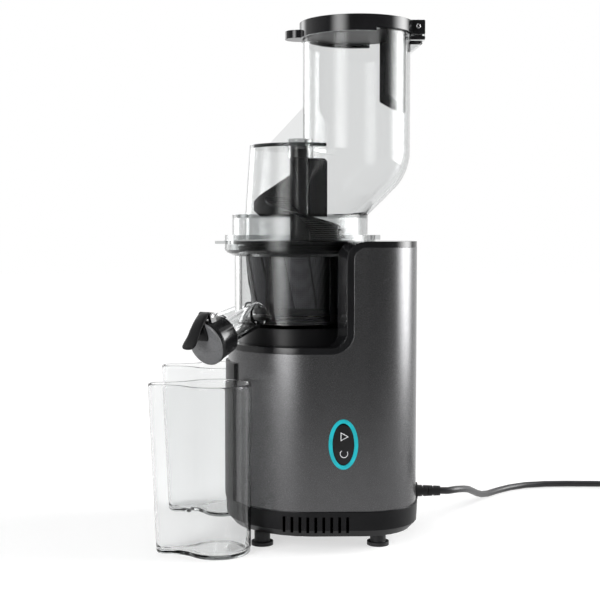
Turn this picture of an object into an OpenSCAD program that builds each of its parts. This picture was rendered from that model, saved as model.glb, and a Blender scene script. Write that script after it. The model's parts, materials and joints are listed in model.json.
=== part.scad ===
// Cold press juicer, in millimetres, +Z up. Most sizes are measured from the auger's axis, which is also
// the axis of the bowl and of the drive. The whole model is then moved, so that its origin is at the
// bottom centre.

/* [Body] */
// Radius of the body's left end, in plan
end_r = 71; // [69.5:0.5:74]
// Middle of the left end, to the right of the auger's axis
end_x = 10; // [8:0.5:12]
// Radius of the body's two right corners, in plan
corner_r = 45; // [40:1:50]
// Middle of the right corners, to the right of the auger's axis
corner_x = 51.5; // [46:0.5:58]
// Middle of the right corners, in front of and behind the axis
corner_y = 25; // [20:1:26]
// Thickness of the painted shell
shell_t = 2.2; // [1.6:0.1:3]
// Bottom edge of the painted shell
shell_z = 33; // [30:1:36]
// Height of the deck that the bowl stands over
ledge_z = 164; // [162:1:170]
// Height of the tower's top
tower_z = 248.6; // [244:0.2:249]
// Width of the black trim around the recess
trim_w = 5; // [4:0.5:7]
// Turn of the recess's edge about the auger's axis, in degrees
recess_turn = 28; // [20:1:34]
// Radius of the recess around the bowl
recess_r = 64.4; // [64.2:0.1:65]
// Rounding of the tower's top front edge
tower_round = 14; // [8:1:18]
// Rounding between the tower and the deck
ledge_round = 12; // [6:1:16]
// Height of the underside of the base
base_z = 12; // [10:1:14]
// Distance from front feet to back feet
foot_pitch = 88; // [76:1:96]

/* [Switch] */
// Middle of the switch, to the right of the auger's axis
switch_x = 34.5; // [28:0.5:42]
// Height of the middle of the switch
switch_z = 87.4; // [70:1:110]
// Width of the light ring
ring_w = 23.6; // [20:0.2:28]
// Height of the light ring
ring_h = 40.2; // [36:0.2:46]
// Width of the band of the light ring
ring_band = 3.1; // [2:0.1:4]
// Tilt of the rocker each way, in degrees
rocker_tilt = 7; // [4:1:8]

/* [Bowl] */
// Outer radius of the bowl's wall
bowl_r = 55.4; // [54:0.2:56.4]
// Wall of the clear bowl
bowl_t = 2.5; // [2:0.1:3]
// Height of the bowl's underside
bowl_z = 178; // [176:1:180]
// Height of the bowl's rim
bowl_top = 253.6; // [252:0.2:256]
// Outer radius of the bowl's flange
flange_r = 63.7; // [62:0.1:64]
// Direction of the juice spout, in degrees from +X
spout_turn = -129.4; // [-136:1:-120]
// Slope of the juice spout, in degrees
spout_slope = 18; // [12:1:24]
// Distance from the auger's axis to the face of the spout's cap
cap_reach = 116; // [108:1:122]
// Outer radius of the juice spout
spout_r = 10; // [9:0.5:11]
// Outer radius of the spout's cap
cap_r = 17.5; // [16:0.5:19]
// Direction of the pulp outlet, in degrees from +X
pulp_turn = 148; // [142:1:152]
// Outer radius of the pulp outlet
pulp_r = 12; // [10:0.5:13]
// Distance from the auger's axis to the end of the pulp outlet
pulp_reach = 79; // [74:1:84]

/* [Strainer, brush and auger] */
// Outer radius of the strainer at its foot
strainer_foot_r = 40; // [38:0.5:41]
// Outer radius of the strainer at its top
strainer_top_r = 47; // [45:0.5:47.4]
// Radius of the auger's upper shaft
auger_r = 8.6; // [8:0.1:10]
// Pitch of the auger's flights
auger_pitch = 62; // [50:1:80]

/* [Hopper] */
// Outer radius of the chute
chute_r = 45; // [42:0.5:47]
// Axis of the chute, to the right of the auger's axis
chute_x = 47.5; // [46:0.5:50]
// Height of the chute's rim
chute_top = 419.5; // [380:1:440]
// Height of the elbow's middle
elbow_z = 324; // [322:0.5:327]
// Wall of the clear hopper
hopper_t = 2.8; // [2.2:0.1:3.2]
// Outer radius of the chamber at its top
chamber_top_r = 42.4; // [41.6:0.2:44]
// Outer radius of the chamber at its foot
chamber_foot_r = 46.5; // [46:0.1:48]
// Height of the chamber's roof
chamber_top = 328.4; // [327:0.2:331]
// Outer radius of the hopper's ring
hopper_ring_r = 57.3; // [56.8:0.1:60]
// Height of the hopper's ring
hopper_ring_h = 16.6; // [14:0.2:18]

/* [Lid] */
// Height of the lid's rim
lid_h = 13; // [11.6:0.2:15]
// Play between the lid's rim and the chute
lid_play = 0.5; // [0.4:0.1:0.8]
// Distance from the chute's axis to the tip of the lid's tab
lid_tab = 60; // [55:1:64]
// Distance from the chute's axis to the lid's hinge pin
hinge_reach = 50.5; // [50:0.1:52]
// Height of the hinge pin above the chute's rim
hinge_rise = 6.5; // [6:0.1:7]
// Radius of the hinge pin
hinge_pin_r = 1.6; // [1.4:0.1:1.8]
// Length of the safety plate that hangs from the lid
plate_h = 66; // [50:1:70]

/* [Jugs] */
// Outer radius of a jug at its rim
jug_r = 28.5; // [26:0.5:28.5]
// Length of a jug at its rim, with its lip
jug_l = 82.5; // [76:0.5:86]
// Height of a jug
jug_h = 136; // [120:1:140]
// Wall of a jug
jug_t = 2; // [1.6:0.1:2.4]
// Lean of a jug's wall, over its height
jug_lean = 2.4; // [1.5:0.1:3]
// Middle of the juice jug, to the left of the auger's axis
juice_jug_x = 67; // [67:1:76]
// Middle of the juice jug, in front of the auger's axis
juice_jug_y = 67; // [67:1:74]
// Middle of the pulp jug, to the left of the auger's axis
pulp_jug_x = 71; // [71:1:78]
// Middle of the pulp jug, behind the auger's axis
pulp_jug_y = 61.5; // [61.5:0.5:70]

/* [Cord] */
// Diameter of the cord
cord_d = 6; // [5:0.5:6.5]
// Length of the strain relief
relief_l = 22; // [20:1:30]
// Radius of the coil's middle
coil_r = 33; // [32:1:38]

/* [Hidden] */
$fn = 96;
hull_fn = 32;
fine = 48;

// Clearances: between bodies that rest on each other, of a shaft in its bore, of a loose piece, and of a cut
rest_gap = 0.2;
fit = 0.05;
loose = 0.6;
over = 1;
// How far a round stands out of the straight faces that run on from it
seam = 0.06;
// A span that is longer than the whole machine
span = 4 * end_r;

// Where the model's corner points are, for the bottom-centre origin
spout_dir = heading(spout_turn, spout_slope);
spout_up = [sin(spout_slope) * cos(spout_turn), sin(spout_slope) * sin(spout_turn), cos(spout_slope)];
spout_side = [-sin(spout_turn), cos(spout_turn), 0];
cap_t = 5;
spout_root_r = bowl_r - 2 * bowl_t;
spout_root_z = bowl_z + spout_r + bowl_t;
cap_mid = [cap_reach * cos(spout_turn), cap_reach * sin(spout_turn),
    spout_root_z - (cap_reach - spout_root_r) * tan(spout_slope)];
lever_w = 11;
lever_t = 3;
lever_out = 21;
lever_drop = 3;
ear_r = 5.5;
x_low = -pulp_jug_x - jug_l + jug_r;
tray_out = 1.5;
x_high = corner_x + corner_r + tray_out + fit + relief_l;
y_low = cap_mid[1] + lever_out * spout_dir[1] + (lever_drop + lever_t) * spout_up[1]
    - lever_w / 2 * abs(spout_side[1]);
y_high = pulp_jug_y + jug_r;
frame_shift = [-(x_low + x_high) / 2, -(y_low + y_high) / 2, 0];

function heading(turn, slope) = [cos(slope) * cos(turn), cos(slope) * sin(turn), -sin(slope)];
function polar(r, a) = [r * cos(a), r * sin(a)];
function ellipse(w, h) = [for (i = [0:fine - 1]) [w / 2 * cos(360 * i / fine), h / 2 * sin(360 * i / fine)]];

// Plan of the body: the left end and two right corners as arcs, with straight sides that touch them
corner_turn = atan2(-corner_y, corner_x - end_x)
    - acos((end_r - corner_r) / norm([corner_x - end_x, corner_y]));
module plan(inset = 0) {
    left = [end_x, 0] + polar(end_r - inset - seam, corner_turn);
    right = [corner_x, -corner_y] + polar(corner_r - inset - seam, corner_turn);
    side = corner_x + corner_r - inset - seam;
    translate([end_x, 0]) circle(end_r - inset);
    for (s = [-1, 1]) translate([corner_x, s * corner_y]) circle(corner_r - inset);
    polygon([left, right, [side, -corner_y], [side, corner_y], [right[0], -right[1]], [left[0], -left[1]]]);
}
module plan_block(z0, z1, inset = 0) translate([0, 0, z0]) linear_extrude(z1 - z0) plan(inset);

// Side profile of the body, seen along the recess's edge: the deck, then the tower with its two roundings
module side_profile(inset = 0) {
    deck = ledge_z - inset;
    round_r = tower_round - inset;
    hollow_r = ledge_round + inset;
    translate([-span, shell_z - span]) square([2 * span, deck - shell_z + span]);
    translate([inset, deck - over]) square([span, tower_z - tower_round - deck + over]);
    translate([tower_round, deck - over]) square([span, tower_z - inset - deck + over]);
    translate([tower_round, tower_z - tower_round]) circle(round_r);
    difference() {
        translate([inset - hollow_r, deck - over]) square([hollow_r + over, hollow_r + over]);
        translate([inset - hollow_r, deck + hollow_r]) circle(hollow_r);
    }
}
module side_block(inset = 0)
    rotate([0, 0, recess_turn]) rotate([90, 0, 0])
        linear_extrude(2 * span, center = true) side_profile(inset);
module recess(r, z0) translate([0, 0, z0]) cylinder(r = r, h = tower_z - z0 + over);

module tube(r_out, r_in, z0, z1) {
    translate([0, 0, z0]) difference() {
        cylinder(r = r_out, h = z1 - z0);
        translate([0, 0, -over]) cylinder(r = r_in, h = z1 - z0 + 2 * over);
    }
}
module rod(r, z0, z1) translate([0, 0, z0]) cylinder(r = r, h = z1 - z0);

// Painted shell and what closes it
liner_t = 1.2;
boss_r = 4;
tray_tuck = 5;
screw_r = 1.2;
screw_head_r = 2.8;
boss_top = shell_z + 7 * boss_r;
boss_turns = [-110, 110, -20, 20];
boss_in = tray_tuck + 1.2 * boss_r;
function boss_at(a) = abs(a) > 90 ? [end_x, 0] + polar(end_r - boss_in, a)
    : [corner_x, sign(a) * corner_y] + polar(corner_r - boss_in, a);
module at_bosses() for (a = boss_turns) translate(boss_at(a)) rotate([0, 0, a]) children();

// A frame on the flat front of the body: x to the right, y up, z out of the face
front_turn = corner_turn + 90;
module at_switch()
    translate([switch_x, face_y(switch_x), switch_z])
        rotate([0, 0, front_turn]) rotate([90, 0, 0]) children();
function face_y(x) = (end_r - (x - end_x) * cos(corner_turn)) / sin(corner_turn);

relief_r = 7.2;
relief_z = 34.5;
relief_bore = cord_d / 2 + shell_t;
relief_x = corner_x + corner_r;

module body_shell() color([0.28, 0.29, 0.3]) {
    difference() {
        union() {
            intersection() {
                difference() {
                    plan_block(shell_z, tower_z);
                    plan_block(shell_z - over, tower_z + over, shell_t);
                }
                side_block(trim_w);
            }
            at_bosses() {
                rod(boss_r, shell_z + shell_t, boss_top);
                translate([0, -shell_t / 2, shell_z + shell_t])
                    cube([boss_in - shell_t / 2, shell_t, boss_top - shell_z - shell_t]);
            }
        }
        recess(recess_r + liner_t + fit, ledge_z - trim_w - fit);
        at_bosses() rod(screw_r + fit, shell_z - over, boss_top - boss_r);
        at_switch() translate([0, 0, -3 * shell_t])
            linear_extrude(6 * shell_t) polygon(ellipse(ring_w + 2 * fit, ring_h + 2 * fit));
        translate([relief_x - 3 * shell_t, 0, relief_z]) rotate([0, 90, 0])
            cylinder(r = relief_bore + fit, h = 6 * shell_t);
    }
}

panel_t = 2.2;
panel_w = 70;
panel_top = 148;
module end_panel() color([0.05, 0.05, 0.05])
    translate([0, 0, shell_z]) linear_extrude(panel_top - shell_z) intersection() {
        translate([end_x, 0]) difference() {
            circle(end_r + panel_t);
            circle(end_r + fit);
        }
        translate([-span, -panel_w / 2]) square([span, panel_w]);
    }

seal_r = 9;
module recess_trim() color([0.03, 0.03, 0.03]) difference() {
    union() {
        difference() {
            intersection() {
                plan_block(ledge_z - trim_w, tower_z);
                difference() {
                    side_block();
                    side_block(trim_w);
                }
            }
            recess(recess_r, ledge_z + fit);
        }
        intersection() {
            rod(recess_r + liner_t, ledge_z - trim_w + fit, ledge_z - fit);
            plan_block(ledge_z - trim_w, ledge_z, 2 * fit);
        }
    }
    rod(seal_r + fit, ledge_z - trim_w - over, ledge_z + over);
}

module recess_liner() color([0.02, 0.02, 0.02]) intersection() {
    tube(recess_r + liner_t, recess_r, ledge_z, tower_z - trim_w);
    plan_block(ledge_z, tower_z);
    side_block(trim_w);
}

// Base tray, with its feet and screws
tray_t = 2;
tray_mid = 6;
vent_w = 2.3;
vent_pitch = 6.35;
vent_count = 9;
vent_low = 15.7;
vent_high = 29.1;
vent_x = 12.6;
mount_r = 38;
mount_in = 30;
mount_z = 36;
module slice(z, inset) translate([0, 0, z]) linear_extrude(tray_t / 4) plan(inset, $fn = hull_fn);
module tray_form(inset, floor_z, top_z) hull() {
    slice(floor_z, tray_tuck + inset);
    slice(floor_z + tray_mid, inset - tray_out / 2);
    slice(top_z - tray_t / 4, inset - tray_out);
}
module base_tray() color([0.04, 0.04, 0.04]) difference() {
    union() {
        difference() {
            tray_form(0, base_z, shell_z, $fn = hull_fn);
            tray_form(tray_t + tray_out, base_z + tray_t, shell_z + over, $fn = hull_fn);
        }
        intersection() {
            at_bosses() rod(boss_r, base_z, shell_z);
            tray_form(tray_t / 2, base_z, shell_z, $fn = hull_fn);
        }
        translate(motor_at) tube(mount_r, mount_in, base_z + tray_t / 2, mount_z);
    }
    at_bosses() rod(screw_r + fit, base_z - over, shell_z + over);
    at_bosses() rod(screw_head_r + fit, base_z - over, base_z + boss_r);
    for (i = [0:vent_count - 1])
        translate([vent_x + (i - (vent_count - 1) / 2) * vent_pitch - vent_w / 2, -span, vent_low])
            cube([vent_w, span - end_r / 2, vent_high - vent_low]);
    translate([relief_x - 3 * shell_t, 0, relief_z]) rotate([0, 90, 0])
        cylinder(r = relief_bore + fit, h = 6 * shell_t);
}

foot_r = 9;
foot_flange = 3;
foot_stem_r = 6.5;
foot_left = -31;
foot_right = 64;
module feet() color([0.06, 0.06, 0.06])
    for (x = [foot_left, foot_right], s = [-1, 1]) translate([x, s * foot_pitch / 2]) {
        rod(foot_r, 0, foot_flange);
        rod(foot_stem_r, foot_flange, base_z);
    }

module base_screws() color([0.7, 0.7, 0.72]) at_bosses() {
    rod(screw_head_r, base_z + screw_r, base_z + boss_r);
    rod(screw_r, base_z + boss_r, shell_z + 3 * boss_r);
}

pedestal_r = 52;
pedestal_taper = 2.5;
pedestal_notch = 45;
module bowl_pedestal() color([0.03, 0.03, 0.03]) translate([0, 0, ledge_z + fit]) difference() {
    cylinder(r1 = pedestal_r, r2 = pedestal_r - pedestal_taper, h = bowl_z - rest_gap - fit - ledge_z);
    translate([0, 0, -over]) cylinder(r = seal_r + fit, h = bowl_z - ledge_z + 2 * over);
    rotate([0, 0, pulp_turn]) translate([pedestal_notch, -pulp_r - over, -over])
        cube([span, 2 * (pulp_r + over), span]);
}

// Switch: a black bezel that holds the light ring, the rocker on its pin, and the contact block behind
bezel_d = 9;
bezel_t = 0.5;
ring_t = 1.6;
ring_proud = 0.4;
rocker_play = 1;
rocker_t = 6;
rocker_pin_r = 1.2;
rocker_pin_z = -4;
rocker_face = 1;
rocker_w = ring_w - 2 * ring_band - 2 * bezel_t;
rocker_h = ring_h - 2 * ring_band - 2 * bezel_t;
module oval_tube(w, h, t, z0, z1) translate([0, 0, z0]) linear_extrude(z1 - z0) difference() {
    polygon(ellipse(w, h));
    polygon(ellipse(w - 2 * t, h - 2 * t));
}
module switch_bezel() color([0.03, 0.03, 0.03]) at_switch() difference() {
    union() {
        oval_tube(ring_w, ring_h, ring_band + bezel_t / 2, -bezel_d, ring_proud - ring_t);
        translate([0, 0, -bezel_d]) linear_extrude(2 * bezel_t) polygon(ellipse(ring_w, ring_h));
    }
    translate([0, 0, rocker_pin_z]) rotate([0, 90, 0])
        cylinder(r = rocker_pin_r + fit, h = rocker_w + ring_band, center = true);
}
module light_ring() color([0, 0.7, 0.75]) at_switch()
    oval_tube(ring_w, ring_h, ring_band, ring_proud - ring_t, ring_proud);
module switch_body() color([0.1, 0.1, 0.1]) at_switch()
    translate([0, 0, -bezel_d - rocker_w / 2]) cube([rocker_w, rocker_h, rocker_w], center = true);
module rocker_switch() color([0.02, 0.02, 0.02]) at_switch() {
    translate([0, 0, rocker_face - rocker_t]) linear_extrude(rocker_t)
        polygon(ellipse(rocker_w, rocker_h - rocker_play));
    translate([0, 0, rocker_pin_z]) rotate([0, 90, 0])
        cylinder(r = rocker_pin_r, h = rocker_w + ring_band - 2 * fit, center = true);
}

// Motor, standing on a rubber ring
can_t = 2;
can_z = 38;
can_top = 104;
cap_top = 106;
rotor_r = 22;
stator_r = 33.7;
air_gap = 0.8;
rotor_z = 54;
rotor_top = 90;
shaft_r = 4;
shaft_z = 40.5;
fan_r = 27;
fan_z = 43;
fan_top = 49;
fan_count = 9;
module at_motor() translate(motor_at) children();
module motor_mount() color([0.1, 0.1, 0.1]) at_motor() tube(mount_r, mount_in, mount_z, can_z);
module motor_can() color([0.6, 0.6, 0.62]) at_motor() {
    tube(mount_r - can_t, mount_r - 2 * can_t, can_z, can_top);
    difference() {
        rod(mount_r - 1.5 * can_t, can_z, can_z + can_t);
        rod(shaft_r * 2, can_z - over, can_top);
        for (i = [0:5]) rotate([0, 0, 60 * i]) translate([fan_r * 2 / 3, 0])
            rod(shaft_r, can_z - over, can_top);
    }
    tube(shaft_r * 2.5, shaft_r + fit, can_z, can_z + 2 * can_t);
}
module motor_stator() color([0.72, 0.4, 0.2]) at_motor() difference() {
    rod(stator_r, rotor_z - can_t, rotor_top + can_t);
    rod(rotor_r + air_gap, rotor_z - 2 * can_t, rotor_top + 2 * can_t);
}
module motor_end_cap() color([0.55, 0.55, 0.57]) at_motor()
    tube(mount_r - can_t, shaft_r + fit, can_top, cap_top);

// Gears: the pinion drives the big idler wheel, and the small idler wheel drives the output gear
module_1 = 1;
module_2 = 1.25;
pinion_teeth = 12;
idler_teeth = 54;
small_teeth = 12;
output_teeth = 54;
idler_turn = 40;
motor_turn = -100;
idler_at = polar(module_2 * (small_teeth + output_teeth) / 2, idler_turn);
motor_at = idler_at + polar(module_1 * (pinion_teeth + idler_teeth) / 2, motor_turn);
gear_1_z = 112.5;
gear_1_top = 121.5;
gear_2_z = 123;
gear_2_top = 134;
tip_share = 0.9;
root_share = 1.2;
tooth_share = 0.42;
// One gear outline: straight flanks at 20 degrees, thinner than half the pitch so that the teeth have play
function flank(r, m, up) = asin((PI * m * tooth_share / 2 - up * m * tan(20)) / r);
module gear(teeth, m, turn) rotate([0, 0, turn]) polygon([for (i = [0:teeth - 1])
    let (r = teeth * m / 2, a = 360 * i / teeth, r_root = r - root_share * m, r_tip = r + tip_share * m)
    each [polar(r_root, a - flank(r_root, m, -root_share)), polar(r_tip, a - flank(r_tip, m, tip_share)),
        polar(r_tip, a + flank(r_tip, m, tip_share)), polar(r_root, a + flank(r_root, m, -root_share))]]);
// The inside outline of a ring gear: its teeth point inwards
module ring_gear(teeth, m, turn) rotate([0, 0, turn]) polygon([for (i = [0:teeth - 1])
    let (r = teeth * m / 2, a = 360 * i / teeth, r_root = r + root_share * m, r_tip = r - tip_share * m)
    each [polar(r_root, a - flank(r_root, m, -root_share)), polar(r_tip, a - flank(r_tip, m, tip_share)),
        polar(r_tip, a + flank(r_tip, m, tip_share)), polar(r_root, a + flank(r_root, m, -root_share))]]);

module motor_rotor() color([0.6, 0.6, 0.6]) at_motor() {
    rod(rotor_r, rotor_z, rotor_top);
    rod(shaft_r, shaft_z, gear_1_top);
    translate([0, 0, gear_1_z]) linear_extrude(gear_1_top - gear_1_z)
        gear(pinion_teeth, module_1, motor_turn + 180);
}
module cooling_fan() color([0.15, 0.15, 0.15]) at_motor() {
    tube(2 * shaft_r, shaft_r + fit, fan_z, fan_top + can_t);
    tube(fan_r, fan_r / 2, fan_z, fan_z + can_t / 2);
    for (i = [0:fan_count - 1]) rotate([0, 0, 360 * i / fan_count])
        translate([1.5 * shaft_r, -can_t / 4, fan_z])
            cube([fan_r - 1.5 * shaft_r, can_t / 2, fan_top - fan_z]);
}

box_t = 2.5;
box_z = cap_top;
box_floor = 110;
box_top = 138;
cover_top = 142;
post_r = 4;
output_r = module_2 * (output_teeth / 2 + tip_share);
idler_r = module_1 * (idler_teeth / 2 + tip_share);
module box_plan(grow) {
    circle(output_r + loose + grow);
    translate(idler_at) circle(idler_r + loose + grow);
    translate(motor_at) circle(mount_r - can_t - box_t + grow);
}
module box_block(z0, z1, grow) translate([0, 0, z0]) linear_extrude(z1 - z0) box_plan(grow);
idler_pin_r = 3;
output_shaft_r = 5.5;
bearing_r = 9;
module at_box_screws() for (p = [polar(output_r + 1.6 * box_t, 150), polar(output_r + 1.6 * box_t, 230),
    idler_at + polar(idler_r + 1.6 * box_t, 40), motor_at + polar(mount_r - can_t + box_t / 2, -40)])
    translate(p) children();
module gearbox_housing() color([0.75, 0.75, 0.72]) difference() {
    union() {
        box_block(box_z, box_top, box_t);
        at_box_screws() rod(post_r, box_z, box_top);
    }
    box_block(box_floor, box_top + over, 0);
    at_motor() rod(shaft_r + fit, box_z - over, box_floor + over);
    translate(idler_at) rod(idler_pin_r, box_z - over, box_floor + over);
    rod(output_shaft_r + fit, box_z + box_t / 2, box_floor + over);
    at_box_screws() rod(screw_r + fit, box_z + box_t, box_top + over);
}
module gearbox_cover() color([0.7, 0.7, 0.68]) difference() {
    union() {
        box_block(box_top, cover_top, box_t);
        at_box_screws() rod(post_r, box_top, cover_top);
        rod(bearing_r + box_t, cover_top, cover_top + 2 * box_t);
    }
    rod(bearing_r + fit, box_top - over, cover_top + 3 * box_t);
    translate(idler_at) rod(idler_pin_r, box_top - over, cover_top + over);
    at_box_screws() rod(screw_r + fit, box_top - over, cover_top + over);
}
module gearbox_screws() color([0.7, 0.7, 0.72]) at_box_screws() {
    rod(screw_r, box_z + 2 * box_t, cover_top);
    rod(screw_head_r, cover_top, cover_top + screw_r);
}
module idler_shaft() color([0.7, 0.7, 0.72]) translate(idler_at) rod(idler_pin_r, box_z, cover_top);
module idler_gear() color([0.85, 0.82, 0.7]) translate(idler_at) difference() {
    union() {
        translate([0, 0, gear_1_z]) linear_extrude(gear_1_top - gear_1_z)
            gear(idler_teeth, module_1, motor_turn + 180 / idler_teeth);
        translate([0, 0, gear_1_top]) linear_extrude(gear_2_top - gear_1_top)
            gear(small_teeth, module_2, idler_turn + 180);
    }
    rod(idler_pin_r + fit, gear_1_z - over, gear_2_top + over);
}
module output_gear() color([0.85, 0.82, 0.7]) difference() {
    translate([0, 0, gear_2_z]) linear_extrude(gear_2_top - gear_2_z - over)
        gear(output_teeth, module_2, idler_turn + 180 / output_teeth);
    rod(output_shaft_r + fit, gear_2_z - over, gear_2_top + over);
}
hex_z = 166;
hex_top = 200;
hex_r = 6;
module hexagon(r, z0, z1) translate([0, 0, z0]) cylinder(r = r, h = z1 - z0, $fn = 6);
module drive_shaft() color([0.72, 0.72, 0.74]) {
    rod(output_shaft_r, box_z + box_t, hex_z);
    hexagon(hex_r, hex_z, hex_top);
}
module shaft_bearing() color([0.65, 0.6, 0.4])
    tube(bearing_r, output_shaft_r + fit, box_top, cover_top + 2 * box_t);
module shaft_seal() color([0.08, 0.08, 0.08])
    tube(seal_r, output_shaft_r + 2 * fit, ledge_z - trim_w, hex_z - rest_gap);

// Electronics: the board on the shell's right wall, and the interlock under the tower's roof
board = [1.6, 44, 60];
board_x = corner_x + corner_r - shell_t - 4 * shell_t;
board_z = 70;
board_hole_shares = [0.15, 0.85];
module control_board() color([0.1, 0.35, 0.15]) {
    translate([board_x, -board[1] / 2, board_z]) cube(board);
    for (y = [-1, 1], z = board_hole_shares)
        translate([board_x + board[0], y * board[1] / 3, board_z + z * board[2]]) rotate([0, 90, 0])
            cylinder(r = board[0], h = 4 * shell_t - board[0] - fit);
    translate([board_x - 5 * board[0], -board[1] / 4, board_z + board[2] / 2])
        cube([5 * board[0], board[1] / 2, board[2] / 4]);
    translate([board_x - 8 * board[0], 0, board_z + board[2] / 5]) rotate([0, 90, 0])
        cylinder(r = board[1] / 8, h = 8 * board[0]);
}
sensor = [14, 10, 12];
sensor_x = 73;
module safety_switch() color([0.12, 0.12, 0.12])
    translate([sensor_x - sensor[0] / 2, -sensor[1] / 2, tower_z - trim_w - sensor[2]]) cube(sensor);

// Cord: strain relief, lead on its own route, coil, tie and plug
relief_collar = 2.4;
relief_tip_t = 1.1;
relief_tip_r = cord_d / 2 + relief_tip_t;
relief_seat = relief_x + tray_out + fit;
relief_grip = tray_out + 2 * shell_t;
relief_cut_shares = [0.3, 0.5, 0.7];
module strain_relief() color([0.04, 0.04, 0.04])
translate([relief_seat, 0, relief_z]) rotate([0, 90, 0]) difference() {
    union() {
        cylinder(r = relief_r, h = relief_collar);
        translate([0, 0, -relief_grip]) cylinder(r = relief_bore, h = relief_grip + over);
        translate([0, 0, relief_collar])
            cylinder(r1 = relief_r - panel_t, r2 = relief_tip_r, h = relief_l - relief_collar);
    }
    for (i = [0:2], side = [0, 180])
        translate([0, 0, relief_l * relief_cut_shares[i]]) rotate([0, 0, 90 * i + side])
        translate([cord_d / 2, -relief_r, 0]) cube([relief_r, 2 * relief_r, panel_t / 2]);
}

tie_t = 0.5;
cord_r = cord_d / 2;
floor_gap = 0.3;
coil_z = cord_r + tie_t + floor_gap;
coil_play = 0.5;
layer_step = cord_d + coil_play;
coil_mid = [345, 126];
coil_turns = 2;
coil_start = 90;
climb_share = 0.2;
coil_steps = 24;
coil_tail = 24;
// The coil spirals in over its lower layer, climbs in half a turn, and spirals out over its upper layer
function coil_radius(t) = t < coil_turns ? coil_r + layer_step * (coil_turns / 2 - t)
    : t > coil_turns + 0.5 ? coil_r + layer_step * (t - 0.5 - 3 * coil_turns / 2)
    : coil_r - layer_step * (coil_turns / 2 + climb_share * sin(360 * (t - coil_turns)));
function coil_height(t) = t < coil_turns ? coil_z : t > coil_turns + 0.5 ? coil_z + layer_step
    : coil_z + layer_step * (1 - cos(360 * (t - coil_turns))) / 2;
function coil_point(t) = concat(coil_mid + polar(coil_radius(t), coil_start - 360 * t), [coil_height(t)]);
coil_last = 2 * coil_turns + 0.25;
coil_in = coil_point(0) - [cord_d, 0, 0];
coil_out = coil_point(coil_last) - [0, coil_tail, 0];
coil_path = concat([coil_in], [for (i = [0:coil_last * coil_steps]) coil_point(i / coil_steps)], [coil_out]);
// The lead's hand-laid route, from the strain relief's tip to the coil
lead_path = [
    [relief_seat + relief_l, 0, relief_z], [127, 0, 34.5], [135, 7, 34], [143, 20, 31.5], [150, 36, 27.5],
    [156, 54, 22], [163, 74, 15.5], [171, 95, 9.5], [180, 115, 5.5], [192, 134, 4], [207, 149, 3.8],
    [225, 160, 3.8], [246, 165, 3.8], [268, 166, 3.8], [290, 165.5, 3.8], [314, 165.5, 3.8], coil_in
];
function unit(v) = v / norm(v);
function tangent(p, i) = unit(p[min(i + 1, len(p) - 1)] - p[max(i - 1, 0)]);
function side_of(t) = unit(cross([0, 0, 1], t));
// A tube of equal rings along a path that is never vertical
module sweep_tube(path, r, sides) {
    rings = [for (i = [0:len(path) - 1]) let (t = tangent(path, i), s = side_of(t), u = cross(t, s))
        each [for (k = [0:sides - 1]) path[i] + r * (cos(360 * k / sides) * s + sin(360 * k / sides) * u)]];
    walls = [for (i = [0:len(path) - 2], k = [0:sides - 1]) let (a = i * sides + k,
        b = i * sides + (k + 1) % sides) each [[a, a + sides, b], [b, a + sides, b + sides]]];
    last = (len(path) - 1) * sides;
    caps = concat([for (k = [1:sides - 2]) [0, k, k + 1]],
                  [for (k = [1:sides - 2]) [last, last + k + 1, last + k]]);
    polyhedron(rings, concat(walls, caps));
}
module cord_lead() color([0.03, 0.03, 0.03]) sweep_tube(lead_path, cord_r, 8);
module cord_coil() color([0.03, 0.03, 0.03]) sweep_tube(coil_path, cord_r, 6);
coil_gap = min([for (i = [0:len(coil_path) - 1], k = [0:len(coil_path) - 1])
    if (k - i > coil_steps / 2) norm(coil_path[i] - coil_path[k]) - cord_d]);
echo(coil_least_gap = coil_gap);

tie_w = 9;
tie_play = 0.6;
tie_turn = 0.7;
module cord_tie() color([0.12, 0.12, 0.12]) {
    inner = coil_radius(coil_turns + tie_turn) - cord_r - tie_play;
    outer = coil_radius(tie_turn) + cord_r + tie_play;
    low = coil_z - cord_r;
    high = coil_z + layer_step + cord_r + tie_play;
    translate([coil_mid[0], coil_mid[1], low - tie_t])
    rotate([0, 0, coil_start - 360 * tie_turn]) difference() {
        translate([inner - tie_t, -tie_w / 2, 0])
            cube([outer - inner + 2 * tie_t, tie_w, high - low + 2 * tie_t]);
        translate([inner, -tie_w, tie_t]) cube([outer - inner, 2 * tie_w, high - low]);
    }
}

plug_l = 34;
plug_w = 26;
plug_h = 2 * coil_out[2] - tie_t;
plug_neck = 12;
pin_r = 2;
pin_l = 19;
pin_pitch = 18.6;
// A frame at the coil's end: z along the plug, x up
module at_plug() translate(coil_out) rotate([90, 0, 0]) rotate([0, 0, 90]) children();
module plug_body() color([0.04, 0.04, 0.04]) at_plug() {
    cylinder(r1 = cord_r + tie_t, r2 = 1.6 * cord_r, h = plug_neck);
    translate([-plug_h / 2, -plug_w / 2, plug_neck]) cube([plug_h, plug_w, plug_l]);
}
module plug_pins() color([0.75, 0.75, 0.77]) at_plug() for (s = [-1, 1])
    translate([0, s * pin_pitch / 2, plug_neck + plug_l]) cylinder(r = pin_r, h = pin_l);

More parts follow.
